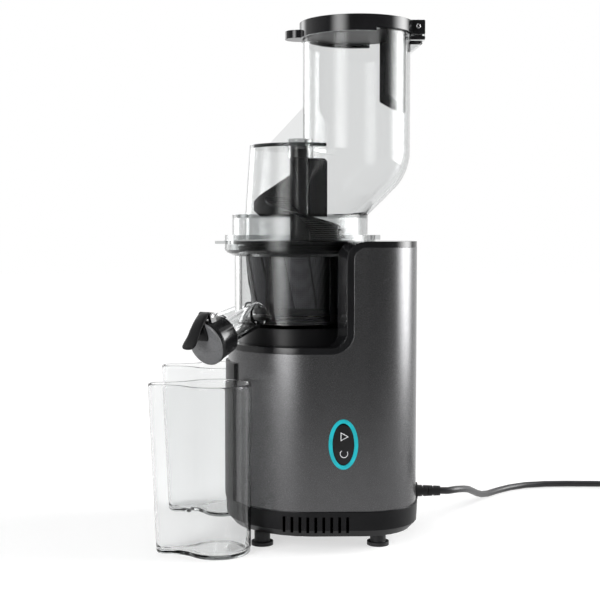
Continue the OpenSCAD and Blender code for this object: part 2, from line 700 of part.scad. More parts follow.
// Bowl, with its spout and outlet
bowl_in = bowl_r - bowl_t;
floor_t = 3;
bowl_floor = bowl_z + floor_t;
flange_h = 15;
step_d = 7.6;
step_z = bowl_top - step_d;
step_out = 1.4;
step_r = bowl_r + step_out;
bowl_hole = 10;
lug_l = 8;
spout_wall = 2;
module along_spout(s)
    translate([spout_root_r * cos(spout_turn), spout_root_r * sin(spout_turn), spout_root_z])
    rotate([0, 0, spout_turn]) rotate([0, 90 + spout_slope, 0]) translate([0, 0, s]) children();
cap_s = (cap_reach - spout_root_r) / cos(spout_slope) - cap_t;
collar_l = 16;
collar_back_r = 15.5;
collar_front_r = 17;
pulp_root = bowl_in - pulp_r;
pulp_z = 188;
pulp_slope = 20;
pulp_wall = 2.2;
module along_pulp(s)
    translate([pulp_root * cos(pulp_turn), pulp_root * sin(pulp_turn), pulp_z])
    rotate([0, 0, pulp_turn]) rotate([0, 90 + pulp_slope, 0]) translate([0, 0, s]) children();
pulp_l = (pulp_reach - pulp_root) / cos(pulp_slope);
module bowl_inside(z0) {
    rod(bowl_in, z0, bowl_top + over);
    rod(step_r, step_z, bowl_top + over);
}
module juice_bowl() color([0.88, 0.92, 0.94, 0.35]) difference() {
    union() {
        rotate_extrude() polygon([[0, bowl_z], [bowl_r - bowl_t, bowl_z], [bowl_r, bowl_z + bowl_t],
            [bowl_r, bowl_top - flange_h - bowl_t], [flange_r - bowl_t, bowl_top - flange_h],
            [flange_r, bowl_top - flange_h + bowl_t], [flange_r, bowl_top], [0, bowl_top]]);
        along_spout(bowl_t) cylinder(r = spout_r, h = cap_s - 2 * bowl_t);
        along_pulp(pulp_r) cylinder(r = pulp_r, h = pulp_l - pulp_r);
        translate([-flange_r - lug_l, -bowl_t * 2, bowl_top - 3 * bowl_t])
            cube([2 * lug_l, bowl_t * 4, bowl_t]);
        translate([flange_r - lug_l / 2, -bowl_t * 2, bowl_top - 1.6 * bowl_t])
            cube([lug_l, bowl_t * 4, 1.6 * bowl_t]);
    }
    bowl_inside(bowl_floor);
    along_spout(-bowl_t) cylinder(r = spout_r - spout_wall, h = cap_s + bowl_t);
    along_pulp(0) cylinder(r = pulp_r - pulp_wall, h = pulp_l + over);
    rod(bowl_hole, bowl_z - over, bowl_floor + over);
    translate(bowl_gear_at) rod(gear_pin_r, bowl_z - over, bowl_floor + over);
}

seal_lip = 6.9;
module bowl_seal() color([0.1, 0.1, 0.1])
    tube(bowl_hole, seal_lip, bowl_z, bowl_floor - rest_gap);

// The brush is turned by a small gear on the bowl's floor,
// between the auger's gear and the brush's ring gear
bowl_module = 1.25;
sun_teeth = 20;
planet_teeth = 14;
brush_teeth = 48;
bowl_gear_turn = -40;
bowl_gear_at = polar(bowl_module * (sun_teeth + planet_teeth) / 2, bowl_gear_turn);
gear_lift = 0.4;
bowl_gear_w = 5;
bowl_gear_z = bowl_floor + gear_lift;
bowl_gear_top = bowl_gear_z + bowl_gear_w;
gear_pin_r = 2;
module bowl_gear_pin() color([0.7, 0.7, 0.72])
    translate(bowl_gear_at) rod(gear_pin_r, bowl_z, bowl_gear_top);
module bowl_gear() color([0.9, 0.9, 0.88]) translate(bowl_gear_at) difference() {
    translate([0, 0, bowl_gear_z]) linear_extrude(bowl_gear_top - bowl_gear_z)
        gear(planet_teeth, bowl_module, bowl_gear_turn + 180);
    rod(gear_pin_r + fit, bowl_gear_z - over, bowl_gear_top + over);
}

module pulp_outlet_seal() color([0.08, 0.08, 0.08]) along_pulp(pulp_l + rest_gap / 2) difference() {
    cylinder(r = pulp_r, h = pulp_wall);
    translate([0, 0, -over]) cylinder(r = pulp_r - pulp_wall, h = pulp_wall + 2 * over);
}

// Anti-drip cap: collar, pin, and the flap with its finger lever
flap_pin_r = 1.2;
flap_pin_rise = 3;
flap_pin_up = cap_r + flap_pin_rise;
flap_pin_back = 4;
knuckle_r = 2.8;
knuckle_w = 7;
module at_flap_pin() along_spout(cap_s - flap_pin_back)
    translate([-flap_pin_up, 0, 0]) rotate([90, 0, 0]) children();
module spout_collar() color([0.04, 0.04, 0.04]) difference() {
    union() {
        along_spout(cap_s - rest_gap - collar_l)
            cylinder(r1 = collar_back_r, r2 = collar_front_r, h = collar_l);
        for (s = [-1, 1]) at_flap_pin() translate([0, 0, s * (knuckle_w + knuckle_r) / 2 + s * rest_gap])
            collar_ear();
    }
    along_spout(0) cylinder(r = spout_r + fit, h = cap_s - bowl_t);
    along_spout(0) cylinder(r = spout_r - spout_wall, h = cap_s + over);
    at_flap_pin() cylinder(r = flap_pin_r, h = 3 * knuckle_w, center = true);
}
module collar_ear() translate([0, 0, -knuckle_r / 2]) linear_extrude(knuckle_r) {
    circle(knuckle_r);
    translate([0, -knuckle_r]) square([flap_pin_up - collar_back_r + knuckle_r, 2 * knuckle_r]);
}
module flap_pin() color([0.7, 0.7, 0.72]) at_flap_pin()
    cylinder(r = flap_pin_r, h = knuckle_w + 2 * knuckle_r + 2 * rest_gap, center = true);
module spout_flap() color([0.2, 0.2, 0.21]) {
    along_spout(cap_s) cylinder(r = cap_r, h = cap_t);
    difference() {
        union() {
            at_flap_pin() cylinder(r = knuckle_r, h = knuckle_w, center = true);
            along_spout(cap_s) rotate([90, 0, 0]) linear_extrude(knuckle_w, center = true) polygon([
                [-flap_pin_up - knuckle_r, -flap_pin_back], [-flap_pin_up - knuckle_r, cap_t],
                [-cap_r + knuckle_r, cap_t], [-cap_r + knuckle_r, 0], [-flap_pin_up + knuckle_r, 0],
                [-flap_pin_up + knuckle_r, -flap_pin_back]]);
            along_spout(cap_s + cap_t) rotate([90, 0, 0]) linear_extrude(lever_w, center = true) polygon([
                [-flap_pin_up - knuckle_r, -cap_t], [-flap_pin_up - knuckle_r + lever_t / 2, lever_t],
                [-0.9 * cap_r, lever_out * 0.6], [-lever_drop - lever_t, lever_out],
                [-lever_drop - lever_t / 2, lever_out], [-0.75 * cap_r, lever_out * 0.5],
                [-0.85 * cap_r, -cap_t / 2]]);
        }
        at_flap_pin() cylinder(r = flap_pin_r + fit, h = 2 * knuckle_w, center = true);
    }
}

// Strainer: a cone of fine mesh held by a moulded frame with slanted ribs
strainer_lift = 1.2;
strainer_z = bowl_gear_top + strainer_lift;
strainer_top = step_z;
strainer_hole = 14.3;
foot_t = 2;
mesh_t = 0.6;
rib_t = 0.8;
rib_w = 1.6;
rib_count = 14;
rib_slant = 10;
rim_t = 2.4;
function strainer_r(z) = strainer_foot_r
    + (strainer_top_r - strainer_foot_r) * (z - strainer_z) / (strainer_top - strainer_z);
module cone_shell(out, inner, z0, z1) rotate_extrude() polygon([
    [strainer_r(z0) + inner, z0], [strainer_r(z0) + out, z0],
    [strainer_r(z1) + out, z1], [strainer_r(z1) + inner, z1]]);
module strainer_frame() color([0.13, 0.13, 0.14]) {
    tube(strainer_foot_r + rib_t, strainer_hole, strainer_z, strainer_z + foot_t);
    cone_shell(rib_t, 0, strainer_z, strainer_z + 3 * foot_t);
    cone_shell(rib_t, 0, strainer_top - 2 * foot_t, strainer_top);
    tube(step_r - loose, strainer_top_r - mesh_t, strainer_top, strainer_top + rim_t);
    intersection() {
        cone_shell(rib_t - fit, fit, strainer_z + fit, strainer_top - fit);
        for (i = [0:rib_count - 1]) rotate([0, 0, 360 * i / rib_count])
            translate([strainer_foot_r, 0, (strainer_z + strainer_top) / 2]) rotate([rib_slant, 0, 0])
                cube([strainer_foot_r, rib_w, 2 * (strainer_top - strainer_z)], center = true);
    }
}
module strainer_mesh() color([0.5, 0.5, 0.52]) cone_shell(-fit, -mesh_t, strainer_z + foot_t, strainer_top);

// Brush: a turning cage between the strainer and the bowl, with silicone blades
cage_gap = 0.8;
cage_out = bowl_in - cage_gap;
cage_t = 2.4;
post_w = 4;
post_count = 6;
ring_out = 36;
cage_drop = 1.5;
cage_top = strainer_top - cage_drop;
module brush_frame() color([0.08, 0.08, 0.08]) {
    translate([0, 0, bowl_gear_z]) linear_extrude(bowl_gear_top - bowl_gear_z) difference() {
        circle(ring_out);
        ring_gear(brush_teeth, bowl_module, brush_phase);
    }
    tube(cage_out, ring_out - over, bowl_gear_z, bowl_gear_z + cage_t);
    tube(cage_out, cage_out - cage_t, cage_top - 2 * cage_t, cage_top);
    intersection() {
        tube(cage_out, cage_out - cage_t, bowl_gear_z, cage_top);
        for (i = [0:post_count - 1]) rotate([0, 0, 360 * i / post_count])
            translate([0, -post_w / 2, 0]) cube([span, post_w, cage_top + over]);
    }
}
brush_phase = bowl_gear_turn + 180 / brush_teeth;
blade_t = 1.2;
blade_gap = 0.8;
module brush_blades() color([0.1, 0.1, 0.1]) {
    z0 = bowl_gear_z + cage_t;
    z1 = cage_top - 2 * cage_t - over;
    for (i = [0:post_count / 2 - 1]) rotate([0, 0, 720 * i / post_count]) rotate([90, 0, 0])
        linear_extrude(blade_t, center = true) polygon([
            [max(strainer_r(z0), strainer_foot_r) + rib_t + blade_gap, z0], [cage_out - cage_t, z0],
            [cage_out - cage_t, z1], [strainer_r(z1) + rib_t + blade_gap, z1]]);
}

// Auger: a hub with a gear at its foot, two flights inside the strainer and one that reaches into the hopper
hub_r = 13.8;
hub_top = 206;
neck_z = 222;
auger_top = 318;
neck_top = 324;
neck_r = 5.6;
socket_r = 8;
socket_cap = 3;
socket_top = hex_top + socket_cap;
flight_t = 4;
flight_lift = 1;
flight_z = strainer_z + foot_t + flight_lift;
flight_mid = 243;
flight_top = 300;
flight_gap = 1.4;
wing_r = 40;
function flight_r(z) = z < flight_mid ? min(strainer_r(z), strainer_top_r) - mesh_t - flight_gap
    : z < flight_mid + 2 * flight_t ? strainer_top_r - mesh_t - flight_gap - (z - flight_mid) / 2
    : wing_r - (wing_r - 2 * auger_r) * pow((z - flight_mid - 2 * flight_t)
        / (flight_top - flight_mid - 2 * flight_t), 2);
function hub_at(z) = z < hub_top ? hub_r : z < neck_z
    ? hub_r + (auger_r - hub_r) * (z - hub_top) / (neck_z - hub_top) : auger_r;
module flight(start, z0, z1) {
    steps = ceil((z1 - z0) / auger_pitch * 36);
    function corner(i, k) = let (z = z0 + (z1 - z0) * i / steps, a = start - 360 * (z - z0) / auger_pitch,
        r = k == 0 || k == 3 ? hub_at(z) - flight_t / 2 : flight_r(z),
        t = k == 0 || k == 3 ? flight_t : flight_t / 2)
        [r * cos(a), r * sin(a), z + (k < 2 ? -t / 2 : t / 2)];
    points = [for (i = [0:steps], k = [0:3]) corner(i, k)];
    sides = [for (i = [0:steps - 1], k = [0:3]) let (a = 4 * i + k, b = 4 * i + (k + 1) % 4)
        each [[a, a + 4, b], [b, a + 4, b + 4]]];
    last = 4 * steps;
    polyhedron(points, concat(sides,
        [[0, 1, 2], [0, 2, 3], [last, last + 2, last + 1], [last, last + 3, last + 2]]));
}
// Above the bowl the auger carries a sloping wing on one side and a tall fin on the other
wing_low = 269;
wing_tip_r = 39;
wing_top = 304;
fin_r = 23;
blade_w = 5;
module wing() rotate([90, 0, 0]) linear_extrude(blade_w, center = true) polygon([
    [0, wing_low], [-wing_tip_r + blade_w, wing_low], [-wing_tip_r, wing_low + blade_w],
    [-wing_tip_r, wing_low + 2.6 * blade_w], [-wing_tip_r + blade_w, wing_low + 3.6 * blade_w],
    [-auger_r, wing_top], [0, wing_top]]);
module fin() rotate([90, 0, 0]) linear_extrude(blade_w, center = true) polygon([
    [0, wing_low], [fin_r, wing_low], [fin_r, auger_top - blade_w / 2], [fin_r - blade_w / 2, auger_top],
    [0, auger_top]]);
wing_turn = 0;
module auger() color([0.1, 0.1, 0.1]) difference() {
    union() {
        translate([0, 0, bowl_gear_z]) linear_extrude(bowl_gear_top - bowl_gear_z)
            gear(sun_teeth, bowl_module, bowl_gear_turn + 180 / sun_teeth);
        rod(hub_r, bowl_gear_top, hub_top);
        translate([0, 0, hub_top]) cylinder(r1 = hub_r, r2 = auger_r, h = neck_z - hub_top);
        rod(auger_r, neck_z, auger_top);
        rod(neck_r, auger_top, neck_top);
        flight(wing_turn, flight_z + flight_t / 2, flight_top);
        flight(wing_turn + 180, flight_z + flight_t / 2, flight_mid);
        wing();
        fin();
    }
    rod(socket_r + fit, bowl_gear_z - over, socket_top);
}
hex_play = 0.4;
module auger_socket() color([0.7, 0.7, 0.72]) difference() {
    rod(socket_r, bowl_gear_z, socket_top - fit);
    hexagon(hex_r + hex_play, bowl_gear_z - over, hex_top + rest_gap);
}

// Hopper: chute, elbow and chamber as one clear moulding
ring_gap = 0.3;
ring_z = bowl_top + ring_gap;
elbow_floor = ring_z + hopper_ring_h;
boss_out = 11;
bearing_gap = 0.4;
bearing_z = auger_top + bearing_gap;
elbow_turn = 135;
gusset_t = 3;
gusset_w = 30;
gusset_h = 32;
// The chute's tube: straight down to the elbow's ball, then slanting in over the chamber, where it ends
// short of the chamber's far wall
slant_l = 1.6 * chute_r;
module elbow(r, z0, top) {
    translate([chute_x, 0, elbow_z]) cylinder(r = r, h = top - elbow_z);
    difference() {
        translate([chute_x, 0, elbow_z]) sphere(r + seam);
        translate([-span, -span / 2, z0 - span]) cube([2 * span, span, span]);
    }
    difference() {
        translate([chute_x, 0, elbow_z]) rotate([0, -elbow_turn, 0]) cylinder(r = r, h = slant_l);
        translate([-span, -span / 2, elbow_z]) cube([2 * span, span, span]);
        translate([-span, -span / 2, z0 - span]) cube([2 * span, span, span]);
    }
}
ear_w = 4;
ear_root = chute_r - hinge_reach - hopper_t;
knuckle_hinge_w = 17;
hinge_x = chute_x + hinge_reach;
ear_mid = knuckle_hinge_w / 2 + rest_gap + ear_w / 2;
hinge_z = chute_top + hinge_rise;
module hinge_ears() for (s = [-1, 1])
    translate([hinge_x, s * ear_mid, hinge_z]) rotate([90, 0, 0])
        linear_extrude(ear_w, center = true) {
            circle(ear_r);
            polygon([[-ear_r, 0], [ear_r, 0], [ear_r, -2 * ear_r], [ear_root, -4 * ear_r],
                [ear_root, -hinge_rise], [-ear_r, -hinge_rise]]);
        }
skirt_depth = 4;
skirt_r = step_r - 2 * loose;
chamber_in = chamber_foot_r - hopper_t;
module chamber(inset, top) translate([0, 0, elbow_floor - over])
    cylinder(r1 = chamber_foot_r - inset, r2 = chamber_top_r - inset, h = top - elbow_floor + over);
module gusset() rotate([90, 0, 0]) linear_extrude(gusset_t, center = true) polygon([
    [chute_x - chute_r + hopper_t / 2, chamber_top - hopper_t / 2],
    [chute_x - chute_r + hopper_t / 2, chamber_top + gusset_h],
    [chute_x - chute_r, chamber_top + gusset_h],
    [chute_x - chute_r - gusset_w, chamber_top],
    [chute_x - chute_r - gusset_w, chamber_top - hopper_t / 2]]);
module hopper() color([0.88, 0.92, 0.94, 0.3]) difference() {
    union() {
        difference() {
            union() {
                elbow(chute_r, elbow_floor, chute_top);
                chamber(0, chamber_top);
                rod(hopper_ring_r, ring_z, elbow_floor);
                rod(skirt_r, bowl_top - skirt_depth, elbow_floor);
                gusset();
            }
            elbow(chute_r - hopper_t, elbow_floor - over, chute_top + over);
            chamber(hopper_t, chamber_top - hopper_t);
            rod(chamber_in, bowl_top - skirt_depth - over, elbow_floor);
            tube(skirt_r - hopper_t, chamber_foot_r, bowl_top - skirt_depth - over, elbow_floor - hopper_t);
        }
        rod(boss_out, bearing_z, chamber_top + 2 * hopper_t);
        hinge_ears();
    }
    rod(socket_r + fit, bearing_z - over, chamber_top);
    translate([hinge_x, 0, hinge_z]) rotate([90, 0, 0])
        cylinder(r = hinge_pin_r + fit, h = 2 * knuckle_hinge_w, center = true);
}
module auger_bearing() color([0.75, 0.72, 0.6])
    tube(socket_r, neck_r + fit, bearing_z, chamber_top - hopper_t);

// Lid, with its safety plate
module hinge_pin() color([0.7, 0.7, 0.72]) translate([hinge_x, 0, hinge_z]) rotate([90, 0, 0])
    cylinder(r = hinge_pin_r, h = knuckle_hinge_w + 2 * ear_w + 2 * rest_gap, center = true);
lid_t = 2.5;
lid_r = chute_r + lid_play + lid_t;
skirt_low = chute_top - lid_t;
lid_top = skirt_low + lid_h;
disc_z = chute_top + rest_gap;
knuckle_out = ear_r - over;
tab_r = 11;
skirt_cut = 14;
module lid_tab_plan() {
    translate([-lid_tab + tab_r, 0]) circle(tab_r);
    translate([-lid_tab + tab_r, -tab_r]) square([lid_tab - chute_r, 2 * tab_r]);
}
module hopper_lid() color([0.06, 0.06, 0.06]) difference() {
    union() {
        translate([chute_x, 0]) rod(lid_r, skirt_low, lid_top);
        translate([hinge_x, 0, hinge_z]) rotate([90, 0, 0]) linear_extrude(knuckle_hinge_w, center = true) {
            circle(knuckle_out);
            translate([-hinge_reach + chute_r, -lid_t])
                square([hinge_reach - chute_r, lid_t + knuckle_out - over]);
        }
        translate([chute_x, 0, skirt_low]) linear_extrude(lid_h / 2) lid_tab_plan();
    }
    translate([chute_x, 0]) {
        rod(chute_r + lid_play, skirt_low - over, disc_z + lid_t);
        rod(chute_r - lid_t, disc_z, lid_top - lid_t);
    }
    translate([chute_x + skirt_cut, -span / 2, skirt_low - over])
        cube([span, span, disc_z + lid_t / 4 - skirt_low + over]);
    translate([hinge_x, 0, hinge_z]) rotate([90, 0, 0])
        cylinder(r = hinge_pin_r + fit, h = 2 * knuckle_hinge_w, center = true);
    for (s = [-1, 1]) translate([hinge_x, s * ear_mid, hinge_z]) rotate([90, 0, 0])
        linear_extrude(ear_w + 2 * rest_gap, center = true) {
            circle(ear_r + loose);
            translate([-ear_r - loose, -lid_h]) square([2 * ear_r, lid_h]);
        }
}
plate_t = 1.6;
plate_gap = 1.2;
plate_spread = 56;
plate_slant = 34;
module lid_flap() color([0.1, 0.1, 0.1]) translate([chute_x, 0]) {
    rod(chute_r + lid_play - fit, disc_z, disc_z + lid_t - fit);
    difference() {
        tube(chute_r - hopper_t - plate_gap, chute_r - hopper_t - plate_gap - plate_t,
             chute_top - plate_h, disc_z);
        rotate([0, 0, plate_spread]) translate([-span, 0, 0]) cube([2 * span, span, 2 * chute_top]);
        rotate([0, 0, -plate_spread]) translate([-span, -span, 0]) cube([2 * span, span, 2 * chute_top]);
        translate([chute_r, 0, chute_top - plate_h]) rotate([0, plate_slant, 0])
            translate([-span, -span / 2, -span]) cube([2 * span, span, span]);
    }
}

// Jugs: one teardrop plan, leaning out from foot to rim
lip_r = 9;
waist_r = 30;
foot_share = 1 - jug_lean / jug_r;
lean_x = 0.6 * jug_r;
lip_x = jug_l - jug_r - lip_r;
// The waist's circle touches both the round and the lip from outside
waist_x = (pow(jug_r + waist_r, 2) - pow(lip_r + waist_r, 2) + lip_x * lip_x) / (2 * lip_x);
waist_y = sqrt(pow(jug_r + waist_r, 2) - waist_x * waist_x);
module jug_plan(inset) {
    circle(jug_r - inset);
    translate([-lip_x, 0]) circle(lip_r - inset);
    difference() {
        polygon([[-waist_x, waist_y] * (jug_r - inset) / (jug_r + waist_r),
            [-lip_x, 0] + [lip_x - waist_x, waist_y] * (lip_r - inset) / (lip_r + waist_r),
            [-lip_x, 0] + [lip_x - waist_x, -waist_y] * (lip_r - inset) / (lip_r + waist_r),
            [-waist_x, -waist_y] * (jug_r - inset) / (jug_r + waist_r)]);
        for (s = [-1, 1]) translate([-waist_x, s * waist_y]) circle(waist_r + inset);
    }
}
// The plan shrinks from the rim down, about a point near the round end
module jug_form(inset, top) translate([lean_x, 0, top]) mirror([0, 0, 1])
    linear_extrude(top, scale = foot_share) translate([-lean_x, 0]) jug_plan(inset, $fn = fine);
module jug() difference() {
    jug_form(0, jug_h);
    intersection() {
        translate([0, 0, over]) jug_form(jug_t, jug_h);
        translate([-span / 2, -span / 2, 1.5 * jug_t]) cube(span);
    }
}
module juice_jug() color([0.88, 0.92, 0.94, 0.3]) translate([-juice_jug_x, -juice_jug_y]) jug();
module pulp_jug() color([0.88, 0.92, 0.94, 0.3]) translate([-pulp_jug_x, pulp_jug_y]) jug();

translate(frame_shift) body_shell();
translate(frame_shift) end_panel();
translate(frame_shift) recess_trim();
translate(frame_shift) recess_liner();
translate(frame_shift) base_tray();
translate(frame_shift) feet();
translate(frame_shift) base_screws();
translate(frame_shift) bowl_pedestal();
translate(frame_shift) switch_bezel();
translate(frame_shift) light_ring();
translate(frame_shift) switch_body();
translate(frame_shift) rocker_switch();
translate(frame_shift) motor_mount();
translate(frame_shift) motor_can();
translate(frame_shift) motor_stator();
translate(frame_shift) motor_end_cap();
translate(frame_shift) motor_rotor();
translate(frame_shift) cooling_fan();
translate(frame_shift) gearbox_housing();
translate(frame_shift) gearbox_cover();
translate(frame_shift) gearbox_screws();
translate(frame_shift) idler_shaft();
translate(frame_shift) idler_gear();
translate(frame_shift) output_gear();
translate(frame_shift) drive_shaft();
translate(frame_shift) shaft_bearing();
translate(frame_shift) shaft_seal();
translate(frame_shift) control_board();
translate(frame_shift) safety_switch();
translate(frame_shift) strain_relief();
translate(frame_shift) cord_lead();
translate(frame_shift) cord_coil();
translate(frame_shift) cord_tie();
translate(frame_shift) plug_body();
translate(frame_shift) plug_pins();
translate(frame_shift) juice_bowl();
translate(frame_shift) bowl_seal();
translate(frame_shift) bowl_gear();
translate(frame_shift) bowl_gear_pin();
translate(frame_shift) pulp_outlet_seal();
translate(frame_shift) spout_collar();
translate(frame_shift) flap_pin();
translate(frame_shift) spout_flap();
translate(frame_shift) strainer_frame();
translate(frame_shift) strainer_mesh();
translate(frame_shift) brush_frame();
translate(frame_shift) brush_blades();
translate(frame_shift) auger();
translate(frame_shift) auger_socket();
translate(frame_shift) hopper();
translate(frame_shift) auger_bearing();
translate(frame_shift) hinge_pin();
translate(frame_shift) hopper_lid();
translate(frame_shift) lid_flap();
translate(frame_shift) juice_jug();
translate(frame_shift) pulp_jug();
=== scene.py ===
"""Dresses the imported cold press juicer: camera, materials, cord, jugs, cap, hinge covers, signs and stage."""
import json
import math

import bmesh
import bpy
from mathutils import Matrix, Vector


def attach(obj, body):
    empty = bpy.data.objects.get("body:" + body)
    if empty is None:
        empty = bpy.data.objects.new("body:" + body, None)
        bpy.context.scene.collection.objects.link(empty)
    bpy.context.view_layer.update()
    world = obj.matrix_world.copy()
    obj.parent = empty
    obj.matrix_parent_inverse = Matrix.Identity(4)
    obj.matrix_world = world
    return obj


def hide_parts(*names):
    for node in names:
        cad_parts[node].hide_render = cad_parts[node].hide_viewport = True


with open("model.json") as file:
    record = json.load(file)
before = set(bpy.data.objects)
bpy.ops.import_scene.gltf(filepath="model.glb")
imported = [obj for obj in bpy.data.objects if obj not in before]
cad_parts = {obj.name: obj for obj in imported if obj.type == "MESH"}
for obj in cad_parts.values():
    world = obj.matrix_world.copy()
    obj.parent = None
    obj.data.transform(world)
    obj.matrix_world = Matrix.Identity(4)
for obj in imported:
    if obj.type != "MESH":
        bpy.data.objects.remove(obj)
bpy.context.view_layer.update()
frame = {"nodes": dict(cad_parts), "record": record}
NODES = frame["nodes"]
MM = 0.001

# The model's frame: the auger's axis stands here in the row frame, in millimetres
AXIS = Vector((2.475, 9.99701, 0))


def row(x, y, z):
    """A point given from the auger's axis in millimetres, as a row frame point in metres."""
    return (Vector((x, y, z)) + AXIS) * MM


def add_object(name, data):
    made = bpy.data.objects.new(name, data)
    bpy.context.scene.collection.objects.link(made)
    return made


def circle(count):
    """Equal angles all the way round."""
    return [2 * math.pi * i / count for i in range(count)]


# Camera, in millimetres and degrees
CAMERA_AT = (0, -976, 256)
CAMERA_LENS = 69
CAMERA_SENSOR = 36
CAMERA_PITCH = 3.38
CAMERA_NEAR = 50


def make_camera():
    data = bpy.data.cameras.new("camera")
    data.lens = CAMERA_LENS
    data.sensor_width = CAMERA_SENSOR
    data.clip_start = CAMERA_NEAR * MM
    camera = add_object("camera", data)
    camera.location = row(*CAMERA_AT)
    camera.rotation_euler = (math.radians(90 - CAMERA_PITCH), 0, 0)
    bpy.context.scene.camera = camera


make_camera()


# Materials
# A noise lies mostly between these values
NOISE_RANGE = (0.3, 0.7)
COLOR_STOPS = (0.35, 0.65)
FINE_DETAIL = 3.0
BROAD_DETAIL = 2.0
# How many times coarser the change of colour is than the grain
BROAD_SHARE = 20
GRAIN_BUMP = 0.35
BEVEL_SAMPLES = 4

CLEAR_IOR = 1.49
CLEAR_ROUGH = 0.015
CLEAR_SWING = 0.6
CLEAR_GRAIN = 350
# Dims the mirrored light, which would whiten the clear walls
CLEAR_GLINT = (0.22, 0.22, 0.22, 1)
CLEAR_SMOKE = (0.25, 0.27, 0.27, 1)
WAVE_GRAIN = 22
WAVE_DETAIL = 1.0
WAVE_DEPTH = 0.00012
WAVE_BUMP = 0.03

SHEET_ROUGH = 0.35
SHEET_METALLIC = 0.9
HOLE_SCALE = 620
HOLE_STRAY = 0.1
HOLE_STOPS = (0.28, 0.4)
HOLE_COLOR = (0.01, 0.01, 0.01)
HOLE_DEPTH = 0.0003
HOLE_BUMP = 0.5

GLOW_ROUGH = 0.3
GLOW_GRAIN = 120
GLOW_DETAIL = 1.0
GLOW_CHANGE = 0.1


def set_inputs(node, values):
    for name, value in values.items():
        node.inputs[name].default_value = value


def add_node(tree, kind, values=None):
    """A shader node of this kind, with inputs set by their names."""
    node = tree.nodes.new("ShaderNode" + kind)
    set_inputs(node, values or {})
    return node


def shader(name, color, roughness, metallic=0.0):
    material = bpy.data.materials.new(name)
    material.use_nodes = True
    tree = material.node_tree
    surface = tree.nodes["Principled BSDF"]
    set_inputs(surface, {"Base Color": (*color, 1), "Roughness": roughness, "Metallic": metallic})
    return material, tree, surface


def noise(tree, scale, detail, stretch=(1, 1, 1)):
    place = add_node(tree, "TexCoord")
    mapping = add_node(tree, "Mapping", {"Scale": stretch})
    texture = add_node(tree, "TexNoise", {"Scale": scale, "Detail": detail})
    tree.links.new(place.outputs["Object"], mapping.inputs["Vector"])
    tree.links.new(mapping.outputs["Vector"], texture.inputs["Vector"])
    return texture.outputs["Fac"]


def map_range(tree, value, source, target, curve="LINEAR"):
    """The value moved from the source range into the target range, and held inside it."""
    node = add_node(tree, "MapRange")
    node.interpolation_type = curve
    set_inputs(node, {"From Min": source[0], "From Max": source[1], "To Min": target[0], "To Max": target[1]})
    tree.links.new(value, node.inputs["Value"])
    return node.outputs["Result"]


def color_ramp(tree, value, stops, colors):
    ramp = add_node(tree, "ValToRGB")
    for element, stop, color in zip(ramp.color_ramp.elements, stops, colors):
        element.position = stop
        element.color = (*color, 1)
    tree.links.new(value, ramp.inputs["Fac"])
    return ramp.outputs["Color"]


def vary_color(tree, surface, value, color, share):
    """Lets the base colour go from darker to lighter by this share, with the value."""
    colors = [c * (1 - share) for c in color], [min(1, c * (1 + share)) for c in color]
    tree.links.new(color_ramp(tree, value, COLOR_STOPS, colors), surface.inputs["Base Color"])


def bump(tree, surface, value, distance, strength, edge=0.0):
    node = add_node(tree, "Bump", {"Distance": distance, "Strength": strength})
    tree.links.new(value, node.inputs["Height"])
    if edge:
        bevel = add_node(tree, "Bevel", {"Radius": edge})
        bevel.samples = BEVEL_SAMPLES
        tree.links.new(bevel.outputs["Normal"], node.inputs["Normal"])
    tree.links.new(node.outputs["Normal"], surface.inputs["Normal"])


def textured(name, color, roughness, grain, depth, metallic=0.0, change=0.12, swing=0.06, edge=0.0004,
             stretch=(1, 1, 1), specular=0.5):
    """A surface whose colour, roughness and grain vary: moulded plastic, rubber, paint or metal."""
    material, tree, surface = shader(name, color, roughness, metallic)
    fine = noise(tree, grain, FINE_DETAIL, stretch)
    broad = noise(tree, grain / BROAD_SHARE, BROAD_DETAIL, stretch)
    vary_color(tree, surface, broad, color, change)
    rough = map_range(tree, fine, NOISE_RANGE, (roughness - swing, roughness + swing))
    tree.links.new(rough, surface.inputs["Roughness"])
    bump(tree, surface, fine, depth, GRAIN_BUMP, edge)
    set_inputs(surface, {"Specular IOR Level": specular})
    return material


def clear_plastic(name, tint, density):
    """Clear plastic with a faint smoke in its thickness, which darkens it where it is seen edge on."""
    material, tree, surface = shader(name, tint, CLEAR_ROUGH)
    set_inputs(surface, {"Transmission Weight": 1.0, "IOR": CLEAR_IOR, "Specular Tint": CLEAR_GLINT})
    volume = add_node(tree, "VolumeAbsorption", {"Color": CLEAR_SMOKE, "Density": density})
    tree.links.new(volume.outputs["Volume"], tree.nodes["Material Output"].inputs["Volume"])
    fine = noise(tree, CLEAR_GRAIN, FINE_DETAIL)
    rough = map_range(tree, fine, NOISE_RANGE, (CLEAR_ROUGH * (1 - CLEAR_SWING), CLEAR_ROUGH * (1 + CLEAR_SWING)))
    tree.links.new(rough, surface.inputs["Roughness"])
    bump(tree, surface, noise(tree, WAVE_GRAIN, WAVE_DETAIL), WAVE_DEPTH, WAVE_BUMP)
    return material


def perforated(name, color):
    """Sheet steel with a fine grid of round holes."""
    material, tree, surface = shader(name, color, SHEET_ROUGH, SHEET_METALLIC)
    place = add_node(tree, "TexCoord")
    grid = add_node(tree, "TexVoronoi", {"Scale": HOLE_SCALE, "Randomness": HOLE_STRAY})
    tree.links.new(place.outputs["Object"], grid.inputs["Vector"])
    colors = color_ramp(tree, grid.outputs["Distance"], HOLE_STOPS, (HOLE_COLOR, color))
    tree.links.new(colors, surface.inputs["Base Color"])
    bump(tree, surface, grid.outputs["Distance"], HOLE_DEPTH, HOLE_BUMP)
    return material


